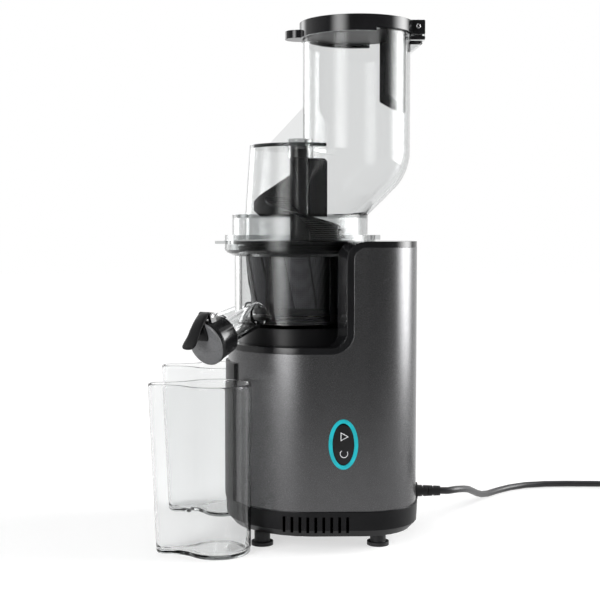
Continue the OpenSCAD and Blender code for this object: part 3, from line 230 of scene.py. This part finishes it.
def glowing(name, color, strength):
    material, tree, surface = shader(name, color, GLOW_ROUGH)
    vary_color(tree, surface, noise(tree, GLOW_GRAIN, GLOW_DETAIL), color, GLOW_CHANGE)
    set_inputs(surface, {"Emission Color": (*color, 1), "Emission Strength": strength})
    return material


GUNMETAL = textured("gunmetal_paint", (0.09, 0.09, 0.092), 0.25, 2600, 0.00003, metallic=0.85, change=0.03,
                    swing=0.05)
GLOSS = textured("black_gloss", (0.006, 0.006, 0.0065), 0.08, 900, 0.00001, swing=0.03, specular=0.3)
SATIN = textured("black_satin", (0.0045, 0.0045, 0.005), 0.36, 1800, 0.00004, specular=0.13)
GREY = textured("grey_satin", (0.075, 0.076, 0.079), 0.3, 1500, 0.00003)
AUGER = textured("auger_black", (0.0045, 0.0045, 0.005), 0.3, 1500, 0.00003, specular=0.15)
RUBBER = textured("black_rubber", (0.01, 0.01, 0.011), 0.6, 1400, 0.00006, specular=0.3)
CORD = textured("cord_black", (0.009, 0.009, 0.01), 0.42, 1600, 0.00004, edge=0.0, specular=0.4)
STEEL = textured("steel", (0.62, 0.62, 0.63), 0.28, 900, 0.00002, metallic=1.0, stretch=(1, 1, 8))
PLATED = textured("plated_steel", (0.8, 0.8, 0.82), 0.14, 700, 0.00001, metallic=1.0)
ALLOY = textured("cast_alloy", (0.58, 0.58, 0.59), 0.5, 800, 0.0001, metallic=0.9)
COPPER = textured("copper_wire", (0.72, 0.36, 0.18), 0.35, 600, 0.0003, metallic=1.0, stretch=(1, 1, 6))
BRONZE = textured("bronze", (0.6, 0.45, 0.24), 0.4, 900, 0.00004, metallic=1.0)
GEAR = textured("gear_plastic", (0.78, 0.75, 0.64), 0.42, 1200, 0.00004)
BOARD = textured("board_green", (0.02, 0.17, 0.07), 0.32, 500, 0.0001)
MESH = perforated("steel_mesh", (0.045, 0.045, 0.048))
TEAL = glowing("teal_light", (0.0, 0.27, 0.31), 0.3)
CLEAR = clear_plastic("clear_plastic", (0.955, 0.958, 0.958), 68)
CLEAR_THIN = clear_plastic("clear_plastic_thin", (0.978, 0.981, 0.981), 38)
# The signs' pale grey print also glows faintly: a painted glow, since the print is no lamp
SIGN_PRINT_GLOW = glowing("printed_grey_painted_glow", (0.5, 0.5, 0.51), 0.1)

LOOKS = {
    "gunmetal_paint": GUNMETAL, "black_gloss": GLOSS, "black_satin": SATIN, "grey_satin": GREY,
    "auger_black": AUGER, "teal_light": TEAL, "clear_plastic": CLEAR, "black_rubber": RUBBER,
    "cord_black": CORD, "steel": STEEL, "steel_mesh": MESH, "plated_steel": PLATED, "cast_alloy": ALLOY,
    "copper_wire": COPPER, "bronze": BRONZE, "gear_plastic": GEAR, "board_green": BOARD,
}


def dress_nodes():
    slots = {part["node"]: part["material_slot"] for part in frame["record"]["subparts"]}
    for name, node in NODES.items():
        node.data.materials.clear()
        node.data.materials.append(LOOKS[slots[name]])


dress_nodes()


# Cord, in millimetres from the auger's axis
CORD_D = 6
CORD_ROUNDING = 6
COIL_MID = (345, 126)
COIL_R = 33
COIL_TURNS = 2
COIL_Z = 3.8
LAYER_STEP = 6.5
# Part of a turn in which the coil climbs to its upper layer, and how far it draws in there, in layer steps
COIL_CLIMB = 0.5
COIL_DIP = 0.2
COIL_END = 2 * COIL_TURNS + 0.25
COIL_STEPS = 24
COIL_TAIL = 24
RELIEF_TIP = (120.05, 0, 34.5)
LEAD_ROUTE = [
    RELIEF_TIP, (127, 0, 34.5), (135, 7, 34), (143, 20, 31.5), (150, 36, 27.5), (156, 54, 22), (163, 74, 15.5),
    (171, 95, 9.5), (180, 115, 5.5), (192, 134, 4), (207, 149, 3.8), (225, 160, 3.8), (246, 165, 3.8),
    (268, 166, 3.8), (290, 165.5, 3.8), (314, 165.5, 3.8),
]


def coil_point(turn):
    """The coil's middle line: a spiral inwards, a climb by one layer, and a spiral outwards on top."""
    climb = turn - COIL_TURNS
    if climb < 0:
        radius, height = COIL_R + LAYER_STEP * (COIL_TURNS / 2 - turn), COIL_Z
    elif climb > COIL_CLIMB:
        radius = COIL_R + LAYER_STEP * (turn - COIL_CLIMB - 3 * COIL_TURNS / 2)
        height = COIL_Z + LAYER_STEP
    else:
        way = math.pi * climb / COIL_CLIMB
        radius = COIL_R - LAYER_STEP * (COIL_TURNS / 2 + COIL_DIP * math.sin(way))
        height = COIL_Z + LAYER_STEP * (1 - math.cos(way)) / 2
    angle = math.pi / 2 - 2 * math.pi * turn
    return (COIL_MID[0] + radius * math.cos(angle), COIL_MID[1] + radius * math.sin(angle), height)


def cord_route():
    start = coil_point(0)
    end = coil_point(COIL_END)
    coil = [coil_point(i / COIL_STEPS) for i in range(int(COIL_END * COIL_STEPS) + 1)]
    return LEAD_ROUTE + [(start[0] - CORD_D, start[1], start[2])] + coil + [(end[0], end[1] - COIL_TAIL, end[2])]


def make_cord():
    points = [row(*p) for p in cord_route()]
    curve = bpy.data.curves.new("power_cord", "CURVE")
    curve.dimensions = "3D"
    curve.bevel_depth = CORD_D / 2 * MM
    curve.bevel_resolution = CORD_ROUNDING
    curve.use_fill_caps = True
    spline = curve.splines.new("POLY")
    spline.points.add(len(points) - 1)
    for slot, point in zip(spline.points, points):
        slot.co = (*point, 1)
    spline.use_smooth = True
    cord = add_object("power_cord", curve)
    curve.materials.append(CORD)
    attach(cord, "base")
    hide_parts("cord_lead", "cord_coil")


make_cord()


# Meshes
# Points closer than this, in metres, are one: at a ring's seam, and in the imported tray
SEAM = 1e-7
WELD = 1e-6


def skin(mesh, rings, closed_ends=True):
    """Faces between rings of points that have the same count."""
    made = [[mesh.verts.new(p) for p in ring] for ring in rings]
    for low, high in zip(made, made[1:]):
        for i in range(len(low)):
            j = (i + 1) % len(low)
            mesh.faces.new((low[i], low[j], high[j], high[i]))
    if closed_ends:
        mesh.faces.new(made[0])
        mesh.faces.new(made[-1])


def to_object(name, mesh, material, smooth=True):
    for face in mesh.faces:
        face.smooth = smooth
    data = bpy.data.meshes.new(name)
    mesh.to_mesh(data)
    mesh.free()
    data.materials.append(material)
    return add_object(name, data)


def finish_piece(name, mesh, material, body, smooth=True):
    bmesh.ops.recalc_face_normals(mesh, faces=mesh.faces)
    piece = to_object(name, mesh, material, smooth)
    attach(piece, body)
    return piece


# Jugs: one smooth teardrop shell each, with a rounded rim, a foot ring and rounded corners
JUG_R = 28.5
JUG_L = 82.5
JUG_H = 136
JUG_LEAN = 2.4
LIP_R = 9
WAIST_R = 30
LEAN_X = 0.6 * JUG_R
LIP_X = JUG_L - JUG_R - LIP_R
WAIST_X = ((JUG_R + WAIST_R) ** 2 - (LIP_R + WAIST_R) ** 2 + LIP_X ** 2) / (2 * LIP_X)
WAIST_Y = math.sqrt((JUG_R + WAIST_R) ** 2 - WAIST_X ** 2)
# Points on the round end, on each hollow flank and on the lip
ROUND_STEPS = 64
WAIST_STEPS = 14
LIP_STEPS = 22
# Each step is how far the line lies inside the outer wall, and its height: up the outside, over the rim and back down
JUG_PROFILE = [
    (9, 0.7), (4.6, 0.7), (4.1, 0.5), (3.8, 0.15), (3.4, 0), (2.6, 0), (1.6, 0.2), (0.7, 0.75), (0.2, 1.5), (0, 2.6),
    (0, 4), (0, JUG_H - 3), (0, JUG_H - 1.2), (0.12, JUG_H - 0.6), (0.45, JUG_H - 0.2), (1, JUG_H),
    (1.55, JUG_H - 0.2), (1.88, JUG_H - 0.6), (2, JUG_H - 1.2), (2, JUG_H - 3), (2, 8), (2.1, 6.5), (2.6, 4.9),
    (3.5, 3.8), (4.8, 3.15), (6, 3), (9, 3),
]
# Each jug's node, and the middle of its round end
JUGS = (("juice_jug", -67, -67), ("pulp_jug", -71, 61.5))


def arc_points(x, y, radius, start, end, steps):
    return [(x + radius * math.cos(start + (end - start) * i / steps),
             y + radius * math.sin(start + (end - start) * i / steps)) for i in range(steps)]


def jug_outline(inset):
    """The jug's plan at its rim, drawn in by inset: a round end, two hollow flanks and a small lip."""
    to_waist = math.atan2(WAIST_Y, -WAIST_X)
    lip_waist = math.atan2(WAIST_Y, LIP_X - WAIST_X)
    flank = WAIST_R + inset
    line = arc_points(0, 0, JUG_R - inset, -to_waist, to_waist, ROUND_STEPS)
    line += arc_points(-WAIST_X, WAIST_Y, flank, to_waist - math.pi, lip_waist - math.pi, WAIST_STEPS)
    line += arc_points(-LIP_X, 0, LIP_R - inset, lip_waist, 2 * math.pi - lip_waist, LIP_STEPS)
    line += arc_points(-WAIST_X, -WAIST_Y, flank, math.pi - lip_waist, math.pi - to_waist, WAIST_STEPS)
    return line


def jug_ring(x, y, inset, z):
    """The outline at a height: the jug leans out towards its rim."""
    share = 1 - JUG_LEAN / JUG_R * (1 - z / JUG_H)
    return [row(x + LEAN_X + (px - LEAN_X) * share, y + py * share, z) for px, py in jug_outline(inset)]


def make_jug(name, x, y):
    mesh = bmesh.new()
    skin(mesh, [jug_ring(x, y, inset, z) for inset, z in JUG_PROFILE])
    bmesh.ops.recalc_face_normals(mesh, faces=mesh.faces)
    bmesh.ops.triangulate(mesh, faces=[f for f in mesh.faces if len(f.verts) > 4])
    return to_object(name, mesh, CLEAR_THIN)


for jug_name, jug_x, jug_y in JUGS:
    jug = make_jug(jug_name + "_shell", jug_x, jug_y)
    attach(jug, jug_name)
    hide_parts(jug_name)


# The base's moulded tray, with its rounded corners shaded smooth between its real edges
SHARP_ANGLE = math.radians(25)


def make_smooth_tray():
    source = NODES["base_tray"].data
    mesh = bmesh.new()
    points = [mesh.verts.new(vert.co) for vert in source.vertices]
    for polygon in source.polygons:
        mesh.faces.new([points[i] for i in polygon.vertices])
    bmesh.ops.remove_doubles(mesh, verts=mesh.verts, dist=WELD)
    for edge in mesh.edges:
        edge.smooth = len(edge.link_faces) == 2 and edge.calc_face_angle(math.pi) < SHARP_ANGLE
    tray = to_object("base_tray_moulded", mesh, SATIN)
    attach(tray, "base")
    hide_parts("base_tray")


make_smooth_tray()


# Anti-drip cap: a black rim and a grey creased face, under a black strap that ends in a finger spoon.
# The spout's root and its three directions, and the distance from the root to the cap's seat
SPOUT_ROOT = Vector((-31.9904, -38.9458, 190.5))
SPOUT_OUT = Vector((-0.603665, -0.734913, -0.309017))
SPOUT_UP = Vector((-0.196143, -0.238788, 0.951057))
SPOUT_SIDE = SPOUT_OUT.cross(SPOUT_UP)
CAP_SEAT = 63.9759
CAP_R = 17.5
CAP_SIDES = 96
PIN_UP = CAP_R + 3
PIN_BACK = 4
PIN_HOLE = 1.25
# Radius and place along the spout of the outlines: the black rim with its two grooves, and the grey face before it
RIM_PROFILE = [
    (0.01, 0.2), (16.9, 0.2), (17.3, 0.4), (17.5, 0.8), (17.5, 1.3), (17.0, 1.5), (17.0, 1.9), (17.5, 2.1),
    (17.5, 2.6), (17.0, 2.8), (17.0, 3.2), (17.4, 3.4), (0.01, 3.4),
]
FACE_PROFILE = [
    (0.01, 3.5), (17.2, 3.5), (17.5, 3.8), (17.5, 4.4), (17.3, 4.8), (16.8, 5.1), (15.5, 5.3), (13, 5.5), (10, 5.7),
    (7, 5.9), (4, 6.0), (0.01, 6.05),
]
FACE_FROM = 5.1
CREASE_UP = -4.5
CREASE_REACH = 12
CREASE_HIGH = 1.2
GROOVE_W = 0.45
GROOVE_DEEP = 0.4
# Middle line, half width and half thickness of the strap, by height and place before the cap's seat
STRAP = [
    (22.7, -3.6, 3.4, 0.6), (22.4, -1.4, 4.8, 1.2), (21.3, 0.8, 5.2, 1.5), (19.6, 3.8, 5.3, 1.6),
    (17.4, 7.2, 5.3, 1.5), (14.7, 10.5, 5.4, 1.4), (11.9, 13.4, 5.6, 1.3), (9.4, 16.2, 6.1, 1.2),
    (7.4, 18.8, 6.7, 1.1), (5.9, 21.0, 6.8, 1.0), (4.9, 22.8, 6.2, 0.95), (4.3, 24.2, 4.6, 0.85),
    (4.1, 24.8, 2.4, 0.6),
]
# The web that ties the strap to the disc, and the rib that runs down the disc from it
WEB = [
    (20.4, 2.8, 3.6, 1.8), (18.0, 3.8, 4.4, 2.2), (15.0, 4.8, 5.4, 2.2), (11.5, 5.6, 6.2, 1.9), (8.0, 6.1, 6.6, 1.5),
    (5.0, 6.4, 6.4, 1.0), (3.6, 6.5, 5.4, 0.6),
]
RIB = [(14.4, 10.4, 1.4, 1.6), (12.6, 8.4, 1.4, 2.2), (11.0, 6.6, 1.4, 2.4), (9.8, 5.4, 1.4, 2.2)]
STRAP_SIDES = 20
# How square the strap's section is: 2 is an ellipse
STRAP_POWER = 3.2
# Place aside and radius of the knuckle round the pin, which is bored for it
KNUCKLE = [(-3.5, PIN_HOLE), (-3.5, 2.5), (-3.2, 2.8), (3.2, 2.8), (3.5, 2.5), (3.5, PIN_HOLE), (-3.5, PIN_HOLE)]
KNUCKLE_SIDES = 40


def at_cap(up, out, side):
    """A point by its height over the spout's axis, its place before the cap's seat and its place aside."""
    return row(*(SPOUT_ROOT + SPOUT_OUT * (CAP_SEAT + out) + SPOUT_UP * up + SPOUT_SIDE * side))


def creased(up, side, out):
    """The face's place with its low roof edge and the groove along it, which fade out towards the rim."""
    if out <= FACE_FROM:
        return out
    away = abs(up - CREASE_UP)
    fade = max(0.0, 1 - (up * up + side * side) / CAP_R ** 2)
    return out + fade * CREASE_HIGH * max(0.0, 1 - away / CREASE_REACH) - GROOVE_DEEP * (away < GROOVE_W / 2)


def make_cap_turned(name, profile, material):
    mesh = bmesh.new()
    skin(mesh, [[Vector((radius * math.cos(a), out, radius * math.sin(a))) for a in circle(CAP_SIDES)]
                for radius, out in profile])
    for cut in (-GROOVE_W, 0.0, GROOVE_W):
        bmesh.ops.bisect_plane(mesh, geom=mesh.verts[:] + mesh.edges[:] + mesh.faces[:],
                               plane_co=(CREASE_UP + cut, 0, 0), plane_no=(1, 0, 0))
    for vert in mesh.verts:
        up, out, side = vert.co
        vert.co = at_cap(up, creased(up, side, out), side)
    return finish_piece(name, mesh, material, "flap")


def strap_ring(line, index):
    """A rounded box section across the line, at one of its points."""
    up, out, half_w, half_t = line[index]
    before, after = line[max(0, index - 1)], line[min(len(line) - 1, index + 1)]
    along = Vector((after[0] - before[0], after[1] - before[1])).normalized()
    normal = Vector((-along.y, along.x))
    ring = []
    for a in circle(STRAP_SIDES):
        c, s = math.cos(a), math.sin(a)
        w = half_w * math.copysign(abs(c) ** (2 / STRAP_POWER), c)
        t = half_t * math.copysign(abs(s) ** (2 / STRAP_POWER), s)
        ring.append(at_cap(up + t * normal.x, out + t * normal.y, w))
    return ring


def make_strap():
    mesh = bmesh.new()
    skin(mesh, [strap_ring(STRAP, i) for i in range(len(STRAP))])
    skin(mesh, [[at_cap(PIN_UP + radius * math.cos(a), -PIN_BACK + radius * math.sin(a), side)
                 for a in circle(KNUCKLE_SIDES)] for side, radius in KNUCKLE], closed_ends=False)
    bmesh.ops.remove_doubles(mesh, verts=mesh.verts, dist=SEAM)
    for line in (WEB, RIB):
        skin(mesh, [strap_ring(line, i) for i in range(len(line))])
    return finish_piece("spout_cap_strap", mesh, SATIN, "flap")


for cap_piece in (make_cap_turned("spout_cap_rim", RIM_PROFILE, GLOSS),
                  make_cap_turned("spout_cap_face", FACE_PROFILE, GREY), make_strap()):
    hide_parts("spout_flap")


# Hinge covers: two black plates, one over the other, with a pin's head on each side of the lid's hinge
HINGE_X = 98
HINGE_Z = 426
EAR_OUT = 12.75
COVER_T = 1.3
COVER_ROUND = 1.1
COVERS = [
    [(-6.8, -6.6), (5.6, -6.6), (5.6, 5.2), (-6.8, 5.2)],
    [(-6.8, -11.0), (5.6, -11.0), (5.6, -8.0), (-6.8, -8.0)],
]
# Size and place outwards of a cover's outline, up to its softened edge
COVER_STEPS = [(1, 0), (1, COVER_T - 0.35), (0.985, COVER_T - 0.1), (0.95, COVER_T)]
ROUND_CORNER_STEPS = 6
# Radius and place outwards of the pin's ring, over the cover
PIN_HEAD = [(1.95, -0.1), (1.95, 0.35), (1.8, 0.5), (1.35, 0.5), (1.2, 0.35), (1.2, -0.1), (1.95, -0.1)]
PIN_SIDES = 32


def at_hinge(right, along, up):
    """A point from the middle of the lid hinge's axis."""
    return row(HINGE_X + right, along, HINGE_Z + up)


def rounded(corners, radius):
    """A rectangle with its corners rounded, drawn counterclockwise."""
    line = []
    count = len(corners)
    for i, (x, y) in enumerate(corners):
        px, py = corners[i - 1]
        nx, ny = corners[(i + 1) % count]
        back = Vector((px - x, py - y)).normalized()
        ahead = Vector((nx - x, ny - y)).normalized()
        middle = Vector((x, y)) + (back + ahead) * radius
        start = math.atan2(-ahead.y, -ahead.x)
        for k in range(ROUND_CORNER_STEPS + 1):
            a = start + math.pi / 2 * k / ROUND_CORNER_STEPS
            line.append((middle.x + radius * math.cos(a), middle.y + radius * math.sin(a)))
    return line


def make_hinge_covers():
    mesh = bmesh.new()
    for side in (-1, 1):
        for corners in COVERS:
            mid = sum((Vector(corner) for corner in corners), Vector((0, 0))) / len(corners)
            skin(mesh, [[at_hinge(mid.x + (x - mid.x) * share, side * (EAR_OUT + out), mid.y + (z - mid.y) * share)
                         for x, z in rounded(corners, COVER_ROUND)] for share, out in COVER_STEPS])
    return finish_piece("hinge_covers", mesh, GLOSS, "hopper")


def make_pin_heads():
    mesh = bmesh.new()
    for side in (-1, 1):
        skin(mesh, [[at_hinge(radius * math.cos(a), side * (EAR_OUT + COVER_T + out), radius * math.sin(a))
                     for a in circle(PIN_SIDES)] for radius, out in PIN_HEAD], closed_ends=False)
    bmesh.ops.remove_doubles(mesh, verts=mesh.verts, dist=SEAM)
    return finish_piece("hinge_pin_heads", mesh, PLATED, "hopper")


make_hinge_covers()
make_pin_heads()


# Printed signs on the rocker: a play triangle and a round arrow, as thin raised bands of pale grey print with a faint
# painted glow
SWITCH_AT = (34.5, -70.426, 87.4)
SWITCH_TURN = math.radians(1.39093)
ROCKER_FACE = 1.0
SIGN_H = 0.08
LINE_W = 0.55
# Holds back a sharp corner's mitre, so that it doesn't run out too far
MITRE_LEAST = 0.35
PLAY_AT = (0.5, 6.4)
PLAY_SIZE = 3.1
PLAY_BACK = 0.8 * PLAY_SIZE
TURN_AT = (0.4, -7.3)
TURN_R = 3.0
TURN_DEGREES = range(35, -236, -10)


def switch_matrix():
    """From switch millimetres (x right, y up, z out of the face) to row metres."""
    turn = Matrix.Rotation(SWITCH_TURN, 4, "Z") @ Matrix.Rotation(math.pi / 2, 4, "X")
    return Matrix.Translation(row(*SWITCH_AT)) @ turn @ Matrix.Scale(MM, 4)


def band(name, points, closed):
    """A flat raised band of equal width along a line of points on the rocker's face."""
    mesh = bmesh.new()
    count = len(points)
    rails = []
    for i, (x, y) in enumerate(points):
        before = points[i - 1] if closed or i else points[i]
        after = points[(i + 1) % count] if closed or i < count - 1 else points[i]
        back = Vector((x - before[0], y - before[1]))
        ahead = Vector((after[0] - x, after[1] - y))
        back = back.normalized() if back.length else ahead.normalized()
        ahead = ahead.normalized() if ahead.length else back
        along = (back + ahead).normalized()
        side = Vector((-along.y, along.x)) * LINE_W / 2 / max(MITRE_LEAST, along.dot(ahead))
        rails.append([mesh.verts.new((x + s * side.x, y + s * side.y, ROCKER_FACE + z))
                      for s, z in ((-1, 0.0), (1, 0.0), (1, SIGN_H), (-1, SIGN_H))])
    for i in range(count if closed else count - 1):
        a, b = rails[i], rails[(i + 1) % count]
        for k in range(4):
            mesh.faces.new((a[k], b[k], b[(k + 1) % 4], a[(k + 1) % 4]))
    if not closed:
        mesh.faces.new(rails[0])
        mesh.faces.new(rails[-1])
    mesh.transform(switch_matrix())
    return finish_piece(name, mesh, SIGN_PRINT_GLOW, "rocker", smooth=False)


def make_signs():
    x, y = PLAY_AT
    band("sign_play", [(x - PLAY_BACK, y + PLAY_SIZE), (x - PLAY_BACK, y - PLAY_SIZE), (x + PLAY_SIZE, y)], True)
    x, y = TURN_AT
    angles = [math.radians(a) for a in TURN_DEGREES]
    band("sign_turn", [(x + TURN_R * math.cos(a), y + TURN_R * math.sin(a)) for a in angles], False)


make_signs()


# Stage: a pale floor, a white world and soft lamps, in metres
WHITE = (1, 1, 1, 1)
# Mirrored rays find the room this dim in front of the object, and white behind it. It brightens over these depths:
# a share of the ray's direction in the world, and metres on the floor
ROOM_DIM = 0.12
WORLD_DEPTH = (-0.6, 0.3)
FLOOR_DEPTH = (-0.9, -0.3)
WORLD_LIT = 0.32
FLOOR_SIZE = 12
FLOOR_DROP = 0.0002
FLOOR_LIT = (0.86, 0.86, 0.86)
FLOOR_ROUGH = 0.6
FLOOR_SPECULAR = 0.1
FLOOR_SEEN = (0.45, 0.45, 0.45, 1)
# The seen floor's glow, and the distances from the object's foot over which it rises
FLOOR_GLOW = (0.6, 0.87)
FLOOR_GLOW_AT = (0.2, 2.4)
# Name, place, size and power of each lamp, and the point that all of them face
LAMPS = (
    ("key_left", (-0.85, -1.2, 0.4), (1.2, 1.7), 92),
    ("strip_right", (1.25, 0.15, 0.45), (1.3, 1.4), 100),
    ("top", (0.0, -0.1, 1.5), (1.0, 1.0), 7),
    ("back_left", (-0.9, 1.0, 0.6), (0.9, 1.4), 14),
)
LAMP_AIM = Vector((0, 0, 0.2))


def calculate(tree, operation, first, second=None, clamp=False):
    """The output of a math node on one or two inputs, each another node's output or a number."""
    node = tree.nodes.new("ShaderNodeMath")
    node.operation = operation
    node.use_clamp = clamp
    for slot, value in zip(node.inputs, (first, second)):
        if isinstance(value, bpy.types.NodeSocket):
            tree.links.new(value, slot)
        elif value is not None:
            slot.default_value = value
    return node.outputs[0]


def mix_shaders(tree, share, low, high):
    mix = add_node(tree, "MixShader")
    tree.links.new(share, mix.inputs["Fac"])
    tree.links.new(low.outputs[0], mix.inputs[1])
    tree.links.new(high.outputs[0], mix.inputs[2])
    return mix


def light_path_mix(tree, seen, lit, out):
    """Shows one shader to camera, glossy and transmission rays, and another to the rest."""
    path = add_node(tree, "LightPath")
    reach = path.outputs["Is Camera Ray"]
    for other in ("Is Glossy Ray", "Is Transmission Ray"):
        reach = calculate(tree, "MAXIMUM", reach, path.outputs[other])
    tree.links.new(mix_shaders(tree, reach, lit, seen).outputs[0], out)


def mirrored_only(tree):
    """1 for a mirrored ray, 0 for one that came through clear plastic or straight from the camera."""
    path = add_node(tree, "LightPath")
    return calculate(tree, "SUBTRACT", path.outputs["Is Glossy Ray"], path.outputs["Is Transmission Ray"],
                     clamp=True)


def room_light(tree, coordinate, depth):
    """The room's brightness for mirrored rays: dim in front of the object, and full behind it."""
    place = add_node(tree, "TexCoord")
    parts = add_node(tree, "SeparateXYZ")
    tree.links.new(place.outputs[coordinate], parts.inputs["Vector"])
    return map_range(tree, parts.outputs["Y"], depth, (ROOM_DIM, 1))


def make_world():
    """White wherever it is seen, with mirrored rays finding the room in front of the object dimmer."""
    world = bpy.data.worlds.new("studio")
    world.use_nodes = True
    bpy.context.scene.world = world
    tree = world.node_tree
    dim = add_node(tree, "Mix", {"A": 1})
    tree.links.new(mirrored_only(tree), dim.inputs["Factor"])
    tree.links.new(room_light(tree, "Generated", WORLD_DEPTH), dim.inputs["B"])
    seen = tree.nodes["Background"]
    set_inputs(seen, {"Color": WHITE})
    tree.links.new(dim.outputs["Result"], seen.inputs["Strength"])
    lit = add_node(tree, "Background", {"Color": WHITE, "Strength": WORLD_LIT})
    light_path_mix(tree, seen, lit, tree.nodes["World Output"].inputs["Surface"])


def floor_glow(tree):
    """The seen floor: it takes some of the lamps' light and glows more the farther it lies from the object."""
    place = add_node(tree, "TexCoord")
    away = add_node(tree, "VectorMath")
    away.operation = "LENGTH"
    tree.links.new(place.outputs["Object"], away.inputs[0])
    glow = add_node(tree, "Emission", {"Color": WHITE})
    rise = map_range(tree, away.outputs["Value"], FLOOR_GLOW_AT, FLOOR_GLOW, "SMOOTHSTEP")
    tree.links.new(rise, glow.inputs["Strength"])
    shaded = add_node(tree, "BsdfDiffuse", {"Color": FLOOR_SEEN})
    both = add_node(tree, "AddShader")
    tree.links.new(shaded.outputs[0], both.inputs[0])
    tree.links.new(glow.outputs[0], both.inputs[1])
    return both


def make_floor():
    bpy.ops.mesh.primitive_plane_add(size=FLOOR_SIZE, location=(0, 0, -FLOOR_DROP))
    floor = bpy.context.object
    floor.name = "floor"
    material, tree, surface = shader("floor_white", FLOOR_LIT, FLOOR_ROUGH)
    set_inputs(surface, {"Specular IOR Level": FLOOR_SPECULAR})
    mirrored = add_node(tree, "Emission", {"Color": WHITE})
    tree.links.new(room_light(tree, "Object", FLOOR_DEPTH), mirrored.inputs["Strength"])
    seen = mix_shaders(tree, mirrored_only(tree), floor_glow(tree), mirrored)
    light_path_mix(tree, seen, surface, tree.nodes["Material Output"].inputs["Surface"])
    floor.data.materials.append(material)


def make_lamp(name, at, size, energy):
    """A softbox: brightest in its middle and fading to its edges, so that its mirror image has soft sides."""
    data = bpy.data.lights.new(name, "AREA")
    data.use_nodes = True
    tree = data.node_tree
    spot = add_node(tree, "NewGeometry")
    parts = add_node(tree, "SeparateXYZ")
    tree.links.new(spot.outputs["Parametric"], parts.inputs["Vector"])
    across, along = [calculate(tree, "SINE", calculate(tree, "MULTIPLY", parts.outputs[side], math.pi))
                     for side in ("X", "Y")]
    fade = calculate(tree, "MULTIPLY", along, calculate(tree, "MULTIPLY", across, across))
    tree.links.new(fade, tree.nodes["Emission"].inputs["Strength"])
    data.shape = "RECTANGLE"
    data.size, data.size_y = size
    data.energy = energy
    light = add_object(name, data)
    light.location = at
    light.rotation_euler = (LAMP_AIM - Vector(at)).to_track_quat("-Z", "Y").to_euler()


make_world()
make_floor()
for lamp in LAMPS:
    make_lamp(*lamp)

bpy.context.scene.view_settings.view_transform = "Standard"
